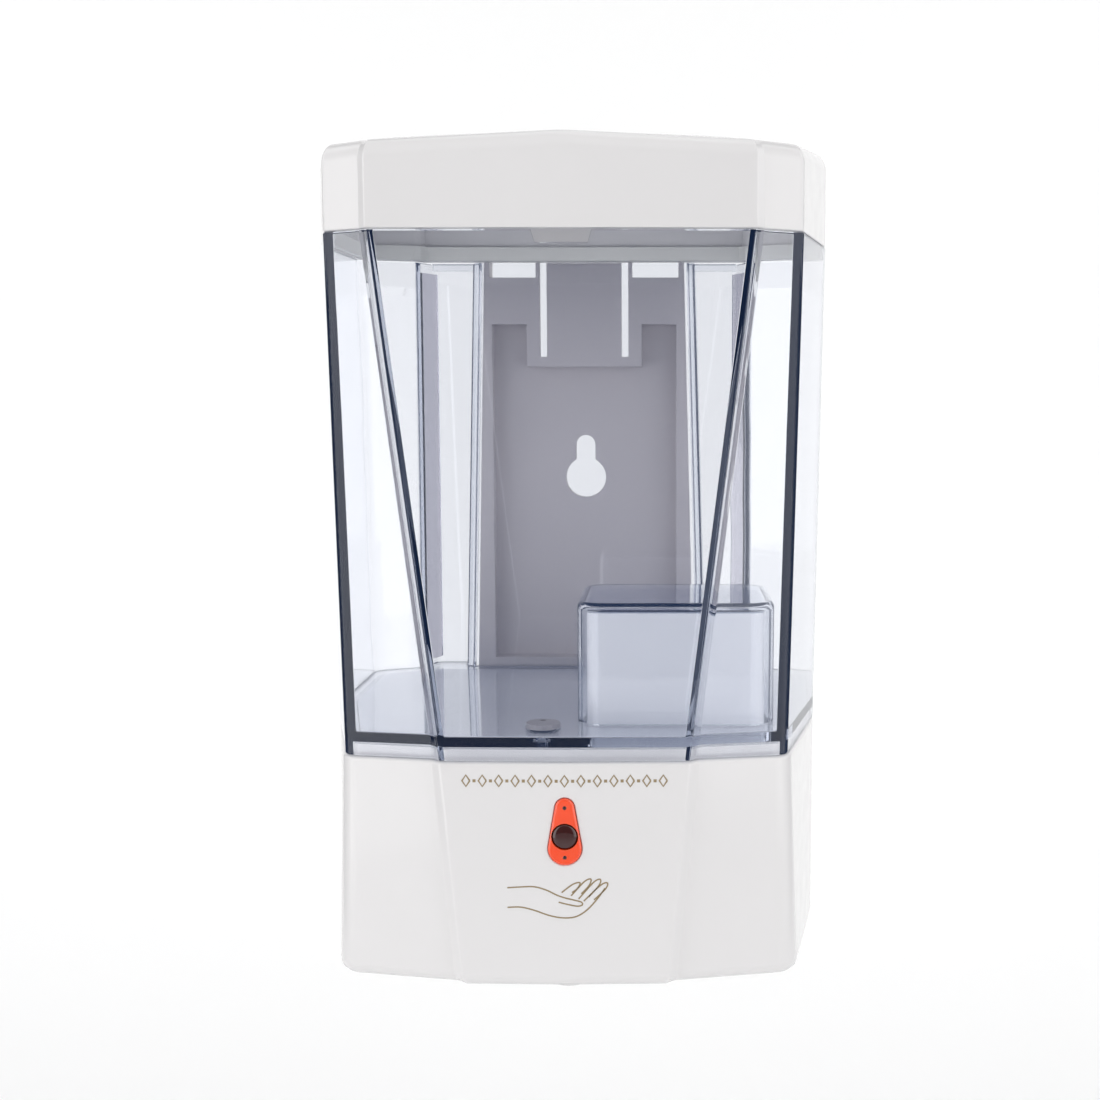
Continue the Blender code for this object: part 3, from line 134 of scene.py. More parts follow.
COVE = 0.5                    # rounding between the tank's floor and walls
SEAM_ROUND = 0.5
RIM_ROUND = 0.25
INNER_RIM_ROUND = 0.2
POST_CAP = (38.8, 6.2)        # centre and half width of the caps on the rear posts
POST_CAP_THICK = 2.0
POST_REAR = -2.6
NOTCH_DEPTH = 3.0             # of the finger notch under the lid's front edge
NOTCH_FOOT_HALF = 6.2
NOTCH_TOP_HALF = 7.4

LIP_TOP = SEAM + 2.4          # of the housing's lip inside the tank's skirt
LIP_OUTER = WALL + 0.7
LIP_INNER = LIP_OUTER + 1.6
LIP_REAR = -12.4
FOOT_EDGE = ((3.4, 0.0), (1.6, 0.4), (0.5, 1.4), (0.12, 2.4), (0.0, 3.4))   # inset and height
TOP_EDGE = 0.9                # rounding of the housing's upper edge

LENS_LOW = (34.9, 4.1)        # height and radius of the lower circle
LENS_HIGH = (44.9, 2.35)
LENS_GAP = 0.1
LENS_SEAT = 1.3               # growth of its seat's bevel, in front of the panel
LENS_FACE = FRONT - 0.5
LENS_REAR = FRONT + 3.6
PANEL_REAR = -106.0           # outline points behind this lie on the sides, not on the front
FILTER_HEIGHT = 37.9
FILTER_RADIUS = 2.95
FILTER_REAR = FRONT + 2.6
FILTER_EDGE = FRONT - 0.2
FILTER_PEAK = FRONT - 0.7
WINDOW_DOTS = (("window_dot_top", 45.0), ("window_dot_foot", 32.8))

CASE_SCREWS = ((-40.0, 12.0), (40.0, 12.0), (-40.0, 44.0), (40.0, 44.0))
PUMP_EARS = ((43.5, -72.0), (9.0, -45.5), (31.0, -45.5))
BOARD_PADS = ((11.0, -81.0), (35.0, -81.0), (11.0, -55.0), (35.0, -55.0))
SCREW_HOLE = 1.45
CASE_BOSS = 3.6
CASE_BOSS_FRONT = -17.0
CASE_HOLE_FRONT = -15.0
WEB_REACH = 9.0               # from a case screw out to the side wall
WEB_FRONT = -15.5
WEB_REAR = -8.0
WEB_HALF = 1.0
PUMP_BOSS = 3.2
PUMP_BOSS_TOP = 29.7
PUMP_HOLE_FOOT = 18.0
PAD_RADIUS = 2.2
PAD_TOP = 7.7
BOSS_FOOT = FLOOR - 0.8
DOOR = (-53.4, -2.6, -74.6, -26.4)     # left, right, front, hinge axis
DOOR_GAP = 0.4
DOOR_BARREL = 1.6
DOOR_LUG = 5.0
DOOR_LUG_ROOT = 1.5
DOOR_PIN_HOLE = 0.88
SWITCH = (50.5, -38.0)
SWITCH_SLOT = (3.9, 2.1)               # half length and half width
FLANGE_HALF = 44.0
FLANGE_FRONT = -4.2
PLATE_HALF = 32.8
PLATE_FRONT = -9.0
PLATE_FOOT = 50.0

# Half outlines (x, y, corner radius), from the front centre round to the rear centre
TANK_TOP = ((0.0, FRONT, 60.0), (45.6, -110.5, 0.6), (47.3, -108.1, 0.6), (57.0, -102.0, 2.5),
            (66.5, -60.0, 25.0), (66.5, -17.5, 7.0), (50.0, -11.5, 1.5), (46.4, -1.6, 2.6),
            (31.2, -1.6, 1.2), (30.6, -9.6, 1.0))
TANK_SEAM = ((0.0, FRONT, 60.0), (30.0, -110.9, 0.6), (31.8, -108.4, 0.6), (53.8, -104.4, 2.5),
             (64.4, -60.0, 25.0), (64.0, -17.5, 7.0), (50.0, -11.5, 1.5), (46.4, -1.6, 2.6),
             (34.6, -1.6, 1.2), (34.0, -9.6, 1.0))
HOUSING_TOP = ((0.0, FRONT, 60.0), (30.2, -110.8, 1.5), (32.4, -108.8, 1.5), (54.4, -104.4, 6.0),
               (64.4, -60.0, 25.0), (64.0, -17.5, 7.0), (50.0, -11.5, 1.5), (46.4, -1.0, 1.2))
HOUSING_FOOT = ((0.0, FRONT, 60.0), (24.9, -110.8, 1.5), (27.2, -108.6, 1.5), (56.6, -102.6, 7.0),
                (64.2, -60.0, 25.0), (63.8, -17.5, 7.0), (50.0, -11.5, 1.5), (46.4, -1.0, 1.2))
LID_OUTLINE = TANK_TOP[:7] + ((48.4, LID_REAR, 1.2),)

INNER_LAGS = {1: 0.5, 2: 0.5, 3: 0.9}   # how much nearer the centre a corner lies inside the tank

ARC_STEPS = 7
ROUND = 48                    # sides of a round tool
SMALL_ROUND = 24
SMOOTH_ANGLE = 32.0           # degrees: an edge sharper than this stays hard
SKIN_ANGLE = 34.0
FLAT_ANGLE = 0.6
SAME_PLACE = 2e-6             # metres
LEAST_EDGE = 1e-6

SKINS = (                     # CAD nodes that only get rounded edges: body, width, slot
    ("back_plate", "housing", 0.35, "grey_plastic"),
    ("battery_door", "battery_door", 0.3, "white_plastic"),
    ("nozzle", "housing", 0.3, "white_plastic"),
    ("switch_knob", "power_switch", 0.25, "black_plastic"),
)

# The studio, in metres: the sheet's front, floor height, rear, bend, top and half width
SHEET_FRONT = -2.2
SHEET_FLOOR = -0.42
SHEET_REAR = 1.1
SHEET_BEND = 0.6
SHEET_TOP = 1.6
SHEET_HALF = 0.95
ROOM_STRENGTH = 0.84
ROOM_FULL = (1.0, 1.0, 1.0, 1.0)
ROOM_CAMERA = (0.2, 0.2, 0.2, 1.0)
ROOM_DIM = (0.17, 0.175, 0.19, 1.0)
ROOM_BANDS = ((-1.0, ROOM_CAMERA), (-0.93, ROOM_CAMERA), (-0.78, ROOM_FULL), (-0.15, ROOM_FULL),
              (0.25, ROOM_DIM), (1.0, ROOM_DIM))      # along y, from in front to behind
ROOM_LEFT = 0.82
ROOM_RIGHT = 1.06
MIDDLE = (0.0, -0.06, 0.0)
LAMPS = (                     # place, target, size, watts
    ("front_left", (-0.75, -0.65, 0.05), MIDDLE, 0.9, 3.9),
    ("front_right", (0.69, -0.74, 0.12), MIDDLE, 1.0, 3.5),
    ("top", (0.1, 0.1, 1.1), MIDDLE, 0.8, 2.3),
    ("sheet_left", (-1.1, 0.3, 0.6), (-0.2, 1.1, 0.1), 1.0, 4.1),
    ("sheet_right", (1.1, 0.3, 0.6), (0.2, 1.1, 0.1), 1.0, 4.1),
)


# ---------------------------------------------------------------- mesh tools

def place(x, y, height):
    """A point in metres from millimetres and a height above the underside."""
    return Vector((x, y, height - ORIGIN_HEIGHT)) * MM


def solid(name, points, faces):
    """A mesh object from millimetre points, with its faces turned outwards."""
    mesh = bpy.data.meshes.new(name)
    mesh.from_pydata([place(*point) for point in points], [], faces)
    made = bpy.data.objects.new(name, mesh)
    bpy.context.scene.collection.objects.link(made)
    work = bmesh.new()
    work.from_mesh(mesh)
    if work.calc_volume(signed=True) < 0.0:
        bmesh.ops.reverse_faces(work, faces=work.faces)
    work.to_mesh(mesh)
    work.free()
    shade(made, SMOOTH_ANGLE)
    return made


def shade(made, angle):
    """Smooth shading with hard edges above an angle in degrees."""
    made.data.shade_smooth()
    made.data.set_sharp_from_angle(angle=math.radians(angle))


def loft(rings):
    """Points and faces of a skin over rings of equal length, capped at both ends."""
    count = len(rings[0])
    points = [point for ring_points in rings for point in ring_points]
    faces = [tuple(range(count))[::-1]]
    for level in range(len(rings) - 1):
        low = level * count
        high = low + count
        for step in range(count):
            following = (step + 1) % count
            faces.append((low + step, low + following, high + following, high + step))
    last = (len(rings) - 1) * count
    faces.append(tuple(range(last, last + count)))
    return points, faces


def blended(low, high, share):
    """A half outline part of the way from one to another."""
    return [tuple(a + (b - a) * share for a, b in zip(start, end)) for start, end in zip(low, high)]


def rounded(half, inset):
    """Points (x, y) of an outline moved in by inset, with an arc at each corner."""
    corners = list(half) + [(-x, y, radius) for x, y, radius in reversed(half) if x > 0.0]
    count = len(corners)
    points = []
    for index, (x, y, radius) in enumerate(corners):
        here = Vector((x, y))
        into = (here - Vector(corners[index - 1][:2])).normalized()
        out = (Vector(corners[(index + 1) % count][:2]) - here).normalized()
        normal_in = Vector((-into.y, into.x))
        normal_out = Vector((-out.y, out.x))
        corner = here + (normal_in + normal_out) * inset / (1.0 + normal_in.dot(normal_out))
        turn = math.atan2(into.x * out.y - into.y * out.x, into.dot(out))
        side = 1.0 if turn > 0.0 else -1.0
        bend = max(radius - side * inset, 0.25)
        start = corner - into * bend * math.tan(abs(turn) / 2)
        centre = start + normal_in * side * bend
        for step in range(ARC_STEPS + 1):
            spin = Matrix.Rotation(turn * step / ARC_STEPS, 2)
            points.append(tuple(centre + spin @ (start - centre)))
    return points


def ring(half, inset, height):
    """One level ring of an outline."""
    return [(x, y, height) for x, y in rounded(half, inset)]


def quarter(start, end, steps, bulge):
    """Points (a, b) on a quarter ellipse between two points; bulge "a" leaves the start along a."""
    points = []
    for step in range(steps + 1):
        angle = math.pi / 2 * step / steps
        ahead = math.sin(angle)
        behind = 1.0 - math.cos(angle)
        share_a, share_b = (ahead, behind) if bulge == "a" else (behind, ahead)
        points.append((start[0] + (end[0] - start[0]) * share_a,
                       start[1] + (end[1] - start[1]) * share_b))
    return points


def circle(radius, sides=ROUND, centre=(0.0, 0.0)):
    """Corners of a regular polygon."""
    return [(centre[0] + radius * math.cos(2 * math.pi * step / sides),
             centre[1] + radius * math.sin(2 * math.pi * step / sides)) for step in range(sides)]


def rectangle(left, right, low, high, radius=0.0):
    """Corners of a rectangle, rounded where a radius is given."""
    steps = 8
    if radius <= 0.0:
        return [(left, low), (right, low), (right, high), (left, high)]
    centres = ((right - radius, high - radius), (left + radius, high - radius),
               (left + radius, low + radius), (right - radius, low + radius))
    points = []
    for turn, (x, y) in enumerate(centres):
        for step in range(steps + 1):
            angle = math.pi / 2 * (turn + step / steps)
            points.append((x + radius * math.cos(angle), y + radius * math.sin(angle)))
    return points


def prism(name, outline, axis, low, high):
    """An outline pushed along an axis: (y, height) along X, (x, height) along Y, (x, y) along Z."""
    to_point = {
        "X": lambda a, b, along: (along, a, b),
        "Y": lambda a, b, along: (a, along, b),
        "Z": lambda a, b, along: (a, b, along),
    }[axis]
    return solid(name, *loft([[to_point(a, b, along) for a, b in outline] for along in (low, high)]))


def box(name, low, high):
    """A block between two corners, for use as a tool."""
    return prism(name, rectangle(low[0], high[0], low[1], high[1]), "Z", low[2], high[2])


def rod(name, centre, radius, low, high):
    """An upright cylinder, for use as a tool."""
    return prism(name, circle(radius, ROUND, centre), "Z", low, high)


def bake_modifiers(made):
    """Replace an object's mesh with its evaluated one."""
    shaped = made.evaluated_get(bpy.context.evaluated_depsgraph_get())
    mesh = bpy.data.meshes.new_from_object(shaped)
    made.modifiers.clear()
    made.data = mesh


def combine(target, tools, operation):
    """Apply tools to a target with exact Booleans and remove them."""
    for tool in tools:
        step = target.modifiers.new("step", "BOOLEAN")
        step.operation = operation
        step.solver = "EXACT"
        step.object = tool
    bake_modifiers(target)
    for tool in tools:
        bpy.data.objects.remove(tool, do_unlink=True)


def cut(target, *tools):
    """Take the tools' volume away."""
    combine(target, tools, "DIFFERENCE")


def fuse(target, *tools):
    """Add the tools' volume."""
    combine(target, tools, "UNION")


def weigh(made):
    """Let the large faces rule the smooth normals, so that a rounded edge doesn't bend them."""
    step = made.modifiers.new("weigh", "WEIGHTED_NORMAL")
    step.mode = "FACE_AREA"
    step.weight = 50
    step.keep_sharp = True
    bake_modifiers(made)


def clean(made):
    """Merge doubled points and shade again after Booleans."""
    work = bmesh.new()
    work.from_mesh(made.data)
    bmesh.ops.remove_doubles(work, verts=work.verts, dist=SAME_PLACE)
    bmesh.ops.dissolve_degenerate(work, edges=work.edges, dist=LEAST_EDGE)
    work.to_mesh(made.data)
    work.free()
    shade(made, SMOOTH_ANGLE)
    weigh(made)


def soften(node, body, width):
    """A copy of a CAD node with its edges rounded, standing for it."""
    mesh = frame["nodes"][node].data.copy()
    made = bpy.data.objects.new(f"{node}_skin", mesh)
    bpy.context.scene.collection.objects.link(made)
    work = bmesh.new()
    work.from_mesh(mesh)
    bmesh.ops.remove_doubles(work, verts=work.verts, dist=SAME_PLACE)
    bmesh.ops.dissolve_limit(work, angle_limit=math.radians(FLAT_ANGLE), verts=work.verts, edges=work.edges)
    work.to_mesh(mesh)
    work.free()
    bevel = made.modifiers.new("edges", "BEVEL")
    bevel.width = width * MM
    bevel.segments = 2
    bevel.limit_method = "ANGLE"
    bevel.angle_limit = math.radians(SKIN_ANGLE)
    bevel.use_clamp_overlap = True
    bake_modifiers(made)
    shade(made, SKIN_ANGLE)
    weigh(made)
    return stand_for(made, body, node)


def stand_for(made, body, *nodes):
    """Ride a piece on a body, in place of CAD nodes."""
    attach(made, body)
    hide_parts(*nodes)
    return made


# ---------------------------------------------------------------- materials

PAINTED_GLOW_BLUE = (0.06, 0.30, 1.0, 1.0)          # a painted glow: faint blue light from the clear plastic, which lifts its darkest edges to navy
PAINTED_GLOW_STRENGTH = 0.0085
LAMP_TINT = (0.985, 0.985, 0.99, 1.0)          # what one face of clear plastic leaves of a lamp's light


def shader_of(name, colour, roughness, metallic=0.0):
    """A new Principled material with its node tree and shader."""
    made = bpy.data.materials.new(name)
    made.use_nodes = True
    tree = made.node_tree
    shader = tree.nodes["Principled BSDF"]
    shader.inputs["Base Color"].default_value = (*colour, 1.0)
    shader.inputs["Roughness"].default_value = roughness
    shader.inputs["Metallic"].default_value = metallic
    return made, tree, shader


def noise_of(tree, scale, detail=3.0, stretch=(1.0, 1.0, 1.0)):
    """The factor output of a noise texture in object space; scale is per metre."""
    spot = tree.nodes.new("ShaderNodeTexCoord")
    mapping = tree.nodes.new("ShaderNodeMapping")
    mapping.inputs["Scale"].default_value = stretch
    noise = tree.nodes.new("ShaderNodeTexNoise")
    noise.inputs["Scale"].default_value = scale
    noise.inputs["Detail"].default_value = detail
    tree.links.new(spot.outputs["Object"], mapping.inputs["Vector"])
    tree.links.new(mapping.outputs["Vector"], noise.inputs["Vector"])
    return noise.outputs["Fac"]


def ranged(tree, source, low, high):
    """A factor mapped from its middle range to low..high."""
    node = tree.nodes.new("ShaderNodeMapRange")
    node.inputs["From Min"].default_value = 0.3
    node.inputs["From Max"].default_value = 0.7
    node.inputs["To Min"].default_value = low
    node.inputs["To Max"].default_value = high
    tree.links.new(source, node.inputs["Value"])
    return node.outputs["Result"]


def tinted(tree, source, first, second):
    """A colour between two, by a factor."""
    node = tree.nodes.new("ShaderNodeMix")
    node.data_type = "RGBA"
    node.inputs[6].default_value = (*first, 1.0)
    node.inputs[7].default_value = (*second, 1.0)
    tree.links.new(source, node.inputs[0])
    return node.outputs[2]


def bumped(tree, shader, source, strength, depth):
    """A bump of a real depth in millimetres on the shader's normal."""
    node = tree.nodes.new("ShaderNodeBump")
    node.inputs["Strength"].default_value = strength
    node.inputs["Distance"].default_value = depth * MM
    tree.links.new(source, node.inputs["Height"])
    tree.links.new(node.outputs["Normal"], shader.inputs["Normal"])


def plastic(name, colour, rough, shift=0.02, grain=900.0, depth=0.012, coat=0.0):
    """Moulded plastic: a slight cloud in its colour and gloss, and a fine skin."""
    made, tree, shader = shader_of(name, colour, sum(rough) / 2)
    cloud = noise_of(tree, 22.0, 2.0)
    darker = tuple(max(channel - shift, 0.0) for channel in colour)
    tree.links.new(tinted(tree, ranged(tree, cloud, 0.0, 1.0), colour, darker), shader.inputs["Base Color"])
    tree.links.new(ranged(tree, noise_of(tree, 140.0, 4.0), *rough), shader.inputs["Roughness"])
    bumped(tree, shader, noise_of(tree, grain, 2.0), 0.35, depth)
    shader.inputs["IOR"].default_value = 1.5
    if coat:
        shader.inputs["Coat Weight"].default_value = coat
        shader.inputs["Coat Roughness"].default_value = 0.06
    return made


def metal(name, colour, rough, stretch=(1.0, 1.0, 30.0)):
    """Metal with drawn or turned lines."""
    made, tree, shader = shader_of(name, colour, sum(rough) / 2, 1.0)
    lines = noise_of(tree, 260.0, 4.0, stretch)
    tree.links.new(ranged(tree, lines, *rough), shader.inputs["Roughness"])
    darker = tuple(channel * 0.86 for channel in colour)
    tree.links.new(tinted(tree, ranged(tree, noise_of(tree, 60.0), 0.0, 1.0), colour, darker),
                   shader.inputs["Base Color"])
    bumped(tree, shader, lines, 0.25, 0.01)
    return made


def clear_plastic(name, tint, density):
    """Clear plastic with a tint that deepens with the way through it, and lets lamp light pass; a faint
    painted blue glow lifts its darkest edges to navy.
    """
    made, tree, shader = shader_of(name, (1.0, 1.0, 1.0), 0.02)
    shader.inputs["Transmission Weight"].default_value = 1.0
    shader.inputs["IOR"].default_value = 1.47
    # painted glow: a faint blue emission that lifts the plastic's darkest edges to navy
    shader.inputs["Emission Color"].default_value = PAINTED_GLOW_BLUE
    shader.inputs["Emission Strength"].default_value = PAINTED_GLOW_STRENGTH
    tree.links.new(ranged(tree, noise_of(tree, 60.0, 2.0), 0.0, 0.035), shader.inputs["Roughness"])
    bumped(tree, shader, noise_of(tree, 34.0, 1.0), 0.2, 0.06)
    lamps = tree.nodes.new("ShaderNodeBsdfTransparent")
    lamps.inputs["Color"].default_value = LAMP_TINT
    path = tree.nodes.new("ShaderNodeLightPath")
    mix = tree.nodes.new("ShaderNodeMixShader")
    absorb = tree.nodes.new("ShaderNodeVolumeAbsorption")
    absorb.inputs["Color"].default_value = (*tint, 1.0)
    absorb.inputs["Density"].default_value = density
    out = tree.nodes["Material Output"]
    tree.links.new(path.outputs["Is Shadow Ray"], mix.inputs[0])
    tree.links.new(shader.outputs[0], mix.inputs[1])
    tree.links.new(lamps.outputs[0], mix.inputs[2])
    tree.links.new(mix.outputs[0], out.inputs["Surface"])
    tree.links.new(absorb.outputs[0], out.inputs["Volume"])
    return made


def lens_red():
    """Translucent red plastic of the sensor window."""
    made = plastic("lens_red", (0.93, 0.115, 0.055), (0.07, 0.14), 0.05, 500.0, 0.004, 0.5)
    shader = made.node_tree.nodes["Principled BSDF"]
    shader.inputs["Subsurface Weight"].default_value = 0.25
    shader.inputs["Subsurface Radius"].default_value = (1.0, 0.25, 0.1)
    shader.inputs["Subsurface Scale"].default_value = 1.5 * MM
    return made


def board_green():
    """Solder mask with a faint pattern of tracks."""
    made, tree, shader = shader_of("board_green", (0.02, 0.16, 0.06), 0.35)
    spot = tree.nodes.new("ShaderNodeTexCoord")
    bricks = tree.nodes.new("ShaderNodeTexBrick")
    bricks.inputs["Scale"].default_value = 260.0
    bricks.inputs["Color1"].default_value = (0.02, 0.16, 0.06, 1.0)
    bricks.inputs["Color2"].default_value = (0.025, 0.21, 0.08, 1.0)
    bricks.inputs["Mortar"].default_value = (0.05, 0.3, 0.12, 1.0)
    tree.links.new(spot.outputs["Object"], bricks.inputs["Vector"])
    tree.links.new(bricks.outputs["Color"], shader.inputs["Base Color"])
    tree.links.new(ranged(tree, noise_of(tree, 200.0), 0.28, 0.42), shader.inputs["Roughness"])
    bumped(tree, shader, bricks.outputs["Fac"], 0.3, 0.03)
    return made


TANK_TINT = (0.22, 0.29, 0.45)
COATS = {
    "white_plastic": plastic("white_gloss", (0.735, 0.723, 0.727), (0.14, 0.2), 0.012, 700.0, 0.006, 0.2),
    "grey_plastic": plastic("grey_satin", (0.30, 0.288, 0.318), (0.38, 0.5), 0.03, 1500.0, 0.02),
    "clear_plastic": clear_plastic("tank_clear", TANK_TINT, 48.0),
    "red_lens": lens_red(),
    "dark_filter": plastic("filter_dark", (0.045, 0.012, 0.012), (0.05, 0.1), 0.01, 500.0, 0.004, 0.5),
    "black_plastic": plastic("black_matt", (0.022, 0.022, 0.024), (0.4, 0.52), 0.008, 1600.0, 0.02),
    "steel": metal("zinc_steel", (0.62, 0.62, 0.63), (0.22, 0.36)),
    "plated_steel": metal("nickel_plate", (0.72, 0.70, 0.66), (0.12, 0.24), (30.0, 1.0, 1.0)),
    "brass": metal("turned_brass", (0.75, 0.54, 0.24), (0.2, 0.34)),
    "silicone": plastic("silicone_milky", (0.76, 0.76, 0.73), (0.4, 0.55), 0.03, 600.0, 0.01),
    "board": board_green(),
    "acetal": plastic("acetal_natural", (0.78, 0.76, 0.69), (0.3, 0.42), 0.03, 1100.0, 0.015),
    "cell_jacket": plastic("cell_sleeve", (0.07, 0.09, 0.13), (0.22, 0.32), 0.02, 400.0, 0.01, 0.3),
    "lead_jacket": plastic("wire_jacket", (0.45, 0.02, 0.018), (0.35, 0.5), 0.03, 900.0, 0.01),
}
# painted light: a brighter copy of the grey plastic for the back plate, making up for the light the tank's
# walls hold back
PLATE_GREY_LIT = plastic("plate_grey_lit", (0.69, 0.64, 0.622), (0.36, 0.48), 0.03, 1300.0, 0.02)
# painted light: a brighter copy of the white plastic for the deck, making up for the light the tank's walls
# hold back
DECK_WHITE_LIT = plastic("deck_white_lit", (0.90, 0.90, 0.91), (0.3, 0.42), 0.02, 900.0, 0.01)
# painted shade: a dark tinted clear for the strips in the tank's rear corners
SHADE_STRIP_CLEAR = clear_plastic("shade_strip_clear", (0.2, 0.15, 0.3), 640.0)
# painted shade: a navy tinted clear for the sheet under the hump's top
HUMP_SHADE_CLEAR = clear_plastic("hump_shade_clear", (0.1, 0.22, 0.5), 520.0)
PRINT = plastic("gold_print", (0.33, 0.26, 0.165), (0.3, 0.5), 0.06, 2500.0, 0.01)


def coat(made, slot, material=None):
    """Give a new piece the given finish, or else the finish of a slot."""
    made.data.materials.clear()
    made.data.materials.append(material or COATS[slot])
    return made


def coat_nodes():
    """Give every CAD node the finish of its slot, and the deck a brightened copy of the white plastic:
    painted light for the dim inside of the tank.
    """
    for part in frame["record"]["subparts"]:
        node = frame["nodes"][part["node"]]
        node.data.materials.clear()
        node.data.materials.append(COATS[part["material_slot"]])
    # painted light: the deck gets the brightened white
    frame["nodes"]["deck"].data.materials[0] = DECK_WHITE_LIT


# ---------------------------------------------------------------- lid

def lid_top(x, y):
    """Height of the lid's outer top over a point, before its edge is rounded."""
    fall = LID_CROWN * (x / LID_CROWN_REACH) ** 2
    share = (y - FRONT) / (LID_PEAK_Y - FRONT)
    rise = LID_RISE * (1.5 * share - 0.5 * share ** 3)
    return LID_FRONT_TOP - fall + rise


def lid_ring(inset, drop, shrink=1.0):
    """A ring that follows the lid's top, drawn towards its middle by shrink."""
    middle = (FRONT + LID_REAR) / 2
    points = []
    for x, y in rounded(LID_OUTLINE, inset):
        x *= shrink
        y = middle + (y - middle) * shrink
        points.append((x, y, lid_top(x, y) - drop))
    return points


def knuckle(name, low, high):
    """One barrel of the lid's hinge with its web to the rear wall."""
    steps = 24
    above, below = KNUCKLE_ARC
    arc = []
    for step in range(steps + 1):
        angle = math.radians(above + (below - above) * step / steps)
        arc.append((HINGE_Y + KNUCKLE_RADIUS * math.cos(angle),
                    HINGE_HEIGHT + KNUCKLE_RADIUS * math.sin(angle)))
    web = [(LID_REAR - PAST, HINGE_HEIGHT + height) for height in KNUCKLE_WEB]
    return prism(name, arc + web, "X", low, high)


def build_lid():
    """The lid, smooth outside and hollow inside, with its hinge barrels."""
    shrinks = (0.03, 0.15, 0.3, 0.45, 0.6, 0.75, 0.88, 0.96)
    rings = [lid_ring(LID_EDGE_INSET, 0.0, shrink) for shrink in shrinks]
    for inset, drop in quarter((LID_EDGE_INSET, 0.0), (0.0, LID_FILLET), 9, "a"):
        rings.append(lid_ring(inset, drop))
    rings.append(ring(LID_OUTLINE, 0.0, LID_BOTTOM + 6.0))
    foot = quarter((0.0, LID_BOTTOM + LID_FOOT_EDGE), (LID_FOOT_EDGE, LID_BOTTOM), 3, "b")
    foot += quarter((WALL - LID_INNER_EDGE, LID_BOTTOM), (WALL, LID_BOTTOM + LID_INNER_EDGE), 2, "a")
    for inset, height in foot:
        rings.append(ring(LID_OUTLINE, inset, height))
    rings.append(lid_ring(WALL, LID_FILLET + 0.6))
    for inset, drop in quarter((WALL, LID_FILLET), (LID_EDGE_INSET + WALL, WALL), 4, "b")[1:]:
        rings.append(lid_ring(inset, drop))
    rings += [lid_ring(LID_EDGE_INSET + WALL, WALL, shrink) for shrink in (0.9, 0.7, 0.5, 0.25, 0.03)]
    made = solid("lid_cover", *loft(rings))
    barrels = []
    holes = []
    for side in (-1, 1):
        for inner, outer in KNUCKLES:
            barrels.append(knuckle("barrel", *sorted((side * inner, side * outer))))
        section = circle(HINGE_PIN_RADIUS, SMALL_ROUND, (HINGE_Y, HINGE_HEIGHT))
        ends = sorted(side * end for end in PIN_HOLE_SPAN)
        holes.append(prism("pin_hole", section, "X", *ends))
    fuse(made, *barrels)
    cut(made, *holes)
    clean(made)
    return coat(stand_for(made, "lid", "lid"), "white_plastic")


# ---------------------------------------------------------------- tank

def tank_outline(height):
    """The tank's half outline at a height."""
    share = (height - SEAM) / (TANK_RIM - SEAM)
    return blended(TANK_SEAM, TANK_TOP, min(max(share, 0.0), 1.0))


def tank_rings(levels):
    """Rings of the tank's outline at (inset, height) pairs."""
    return [ring(tank_outline(height), inset, height) for inset, height in levels]


def hollow_rings(levels):
    """Rings of the tank's inside, whose front corners lie nearer the centre than the outer ones."""
    rings = []
    for inset, height in levels:
        outline = [(x - INNER_LAGS.get(index, 0.0), y, radius)
                   for index, (x, y, radius) in enumerate(tank_outline(height))]
        rings.append(ring(outline, inset, height))
    return rings


def hump_rings(levels):
    """Rings of the hump's outline at (inset, height) pairs."""
    rings = []
    for inset, height in levels:
        outline = rectangle(HUMP_LEFT + inset, HUMP_RIGHT - inset, HUMP_FRONT + inset, HUMP_REAR - inset,
                            HUMP_CORNER - inset)
        rings.append([(x, y, height) for x, y in outline])
    return rings


def build_painted_shade_strips():
    """Dark tinted strips inside the slanted rear corners, from the tank's floor to its rim: painted shade for
    the dark edges of those corners.
    """
    for side, name in ((-1, "left"), (1, "right")):
        section = [(side * x, y) for x, y in SHADE_STRIP_SECTION]
        made = prism(f"painted_shade_strip_{name}", section, "Z", SHADE_STRIP_FOOT, SHADE_STRIP_TOP)
        coat(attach(made, "housing"), "clear_plastic", SHADE_STRIP_CLEAR)


def build_hump_shade_sheet():
    """A dark tinted sheet under the hump's top, over the motor's cover: painted shade that darkens the band
    seen through the hump's top.
    """
    foot = HUMP_TOP - WALL
    levels = [(HUMP_SHADE_INSET, foot), (HUMP_SHADE_INSET, foot + HUMP_SHADE_THICK)]
    made = solid("hump_shade_sheet", *loft(hump_rings(levels)))
    coat(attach(made, "housing"), "clear_plastic", HUMP_SHADE_CLEAR)


def post_caps():
    """Solid caps that close the tank's two rear posts behind the lid."""
    centre, half = POST_CAP
    return [box("cap", (side * centre - half, LID_REAR - 0.6, TANK_RIM - POST_CAP_THICK),
                (side * centre + half, POST_REAR, TANK_RIM)) for side in (-1, 1)]


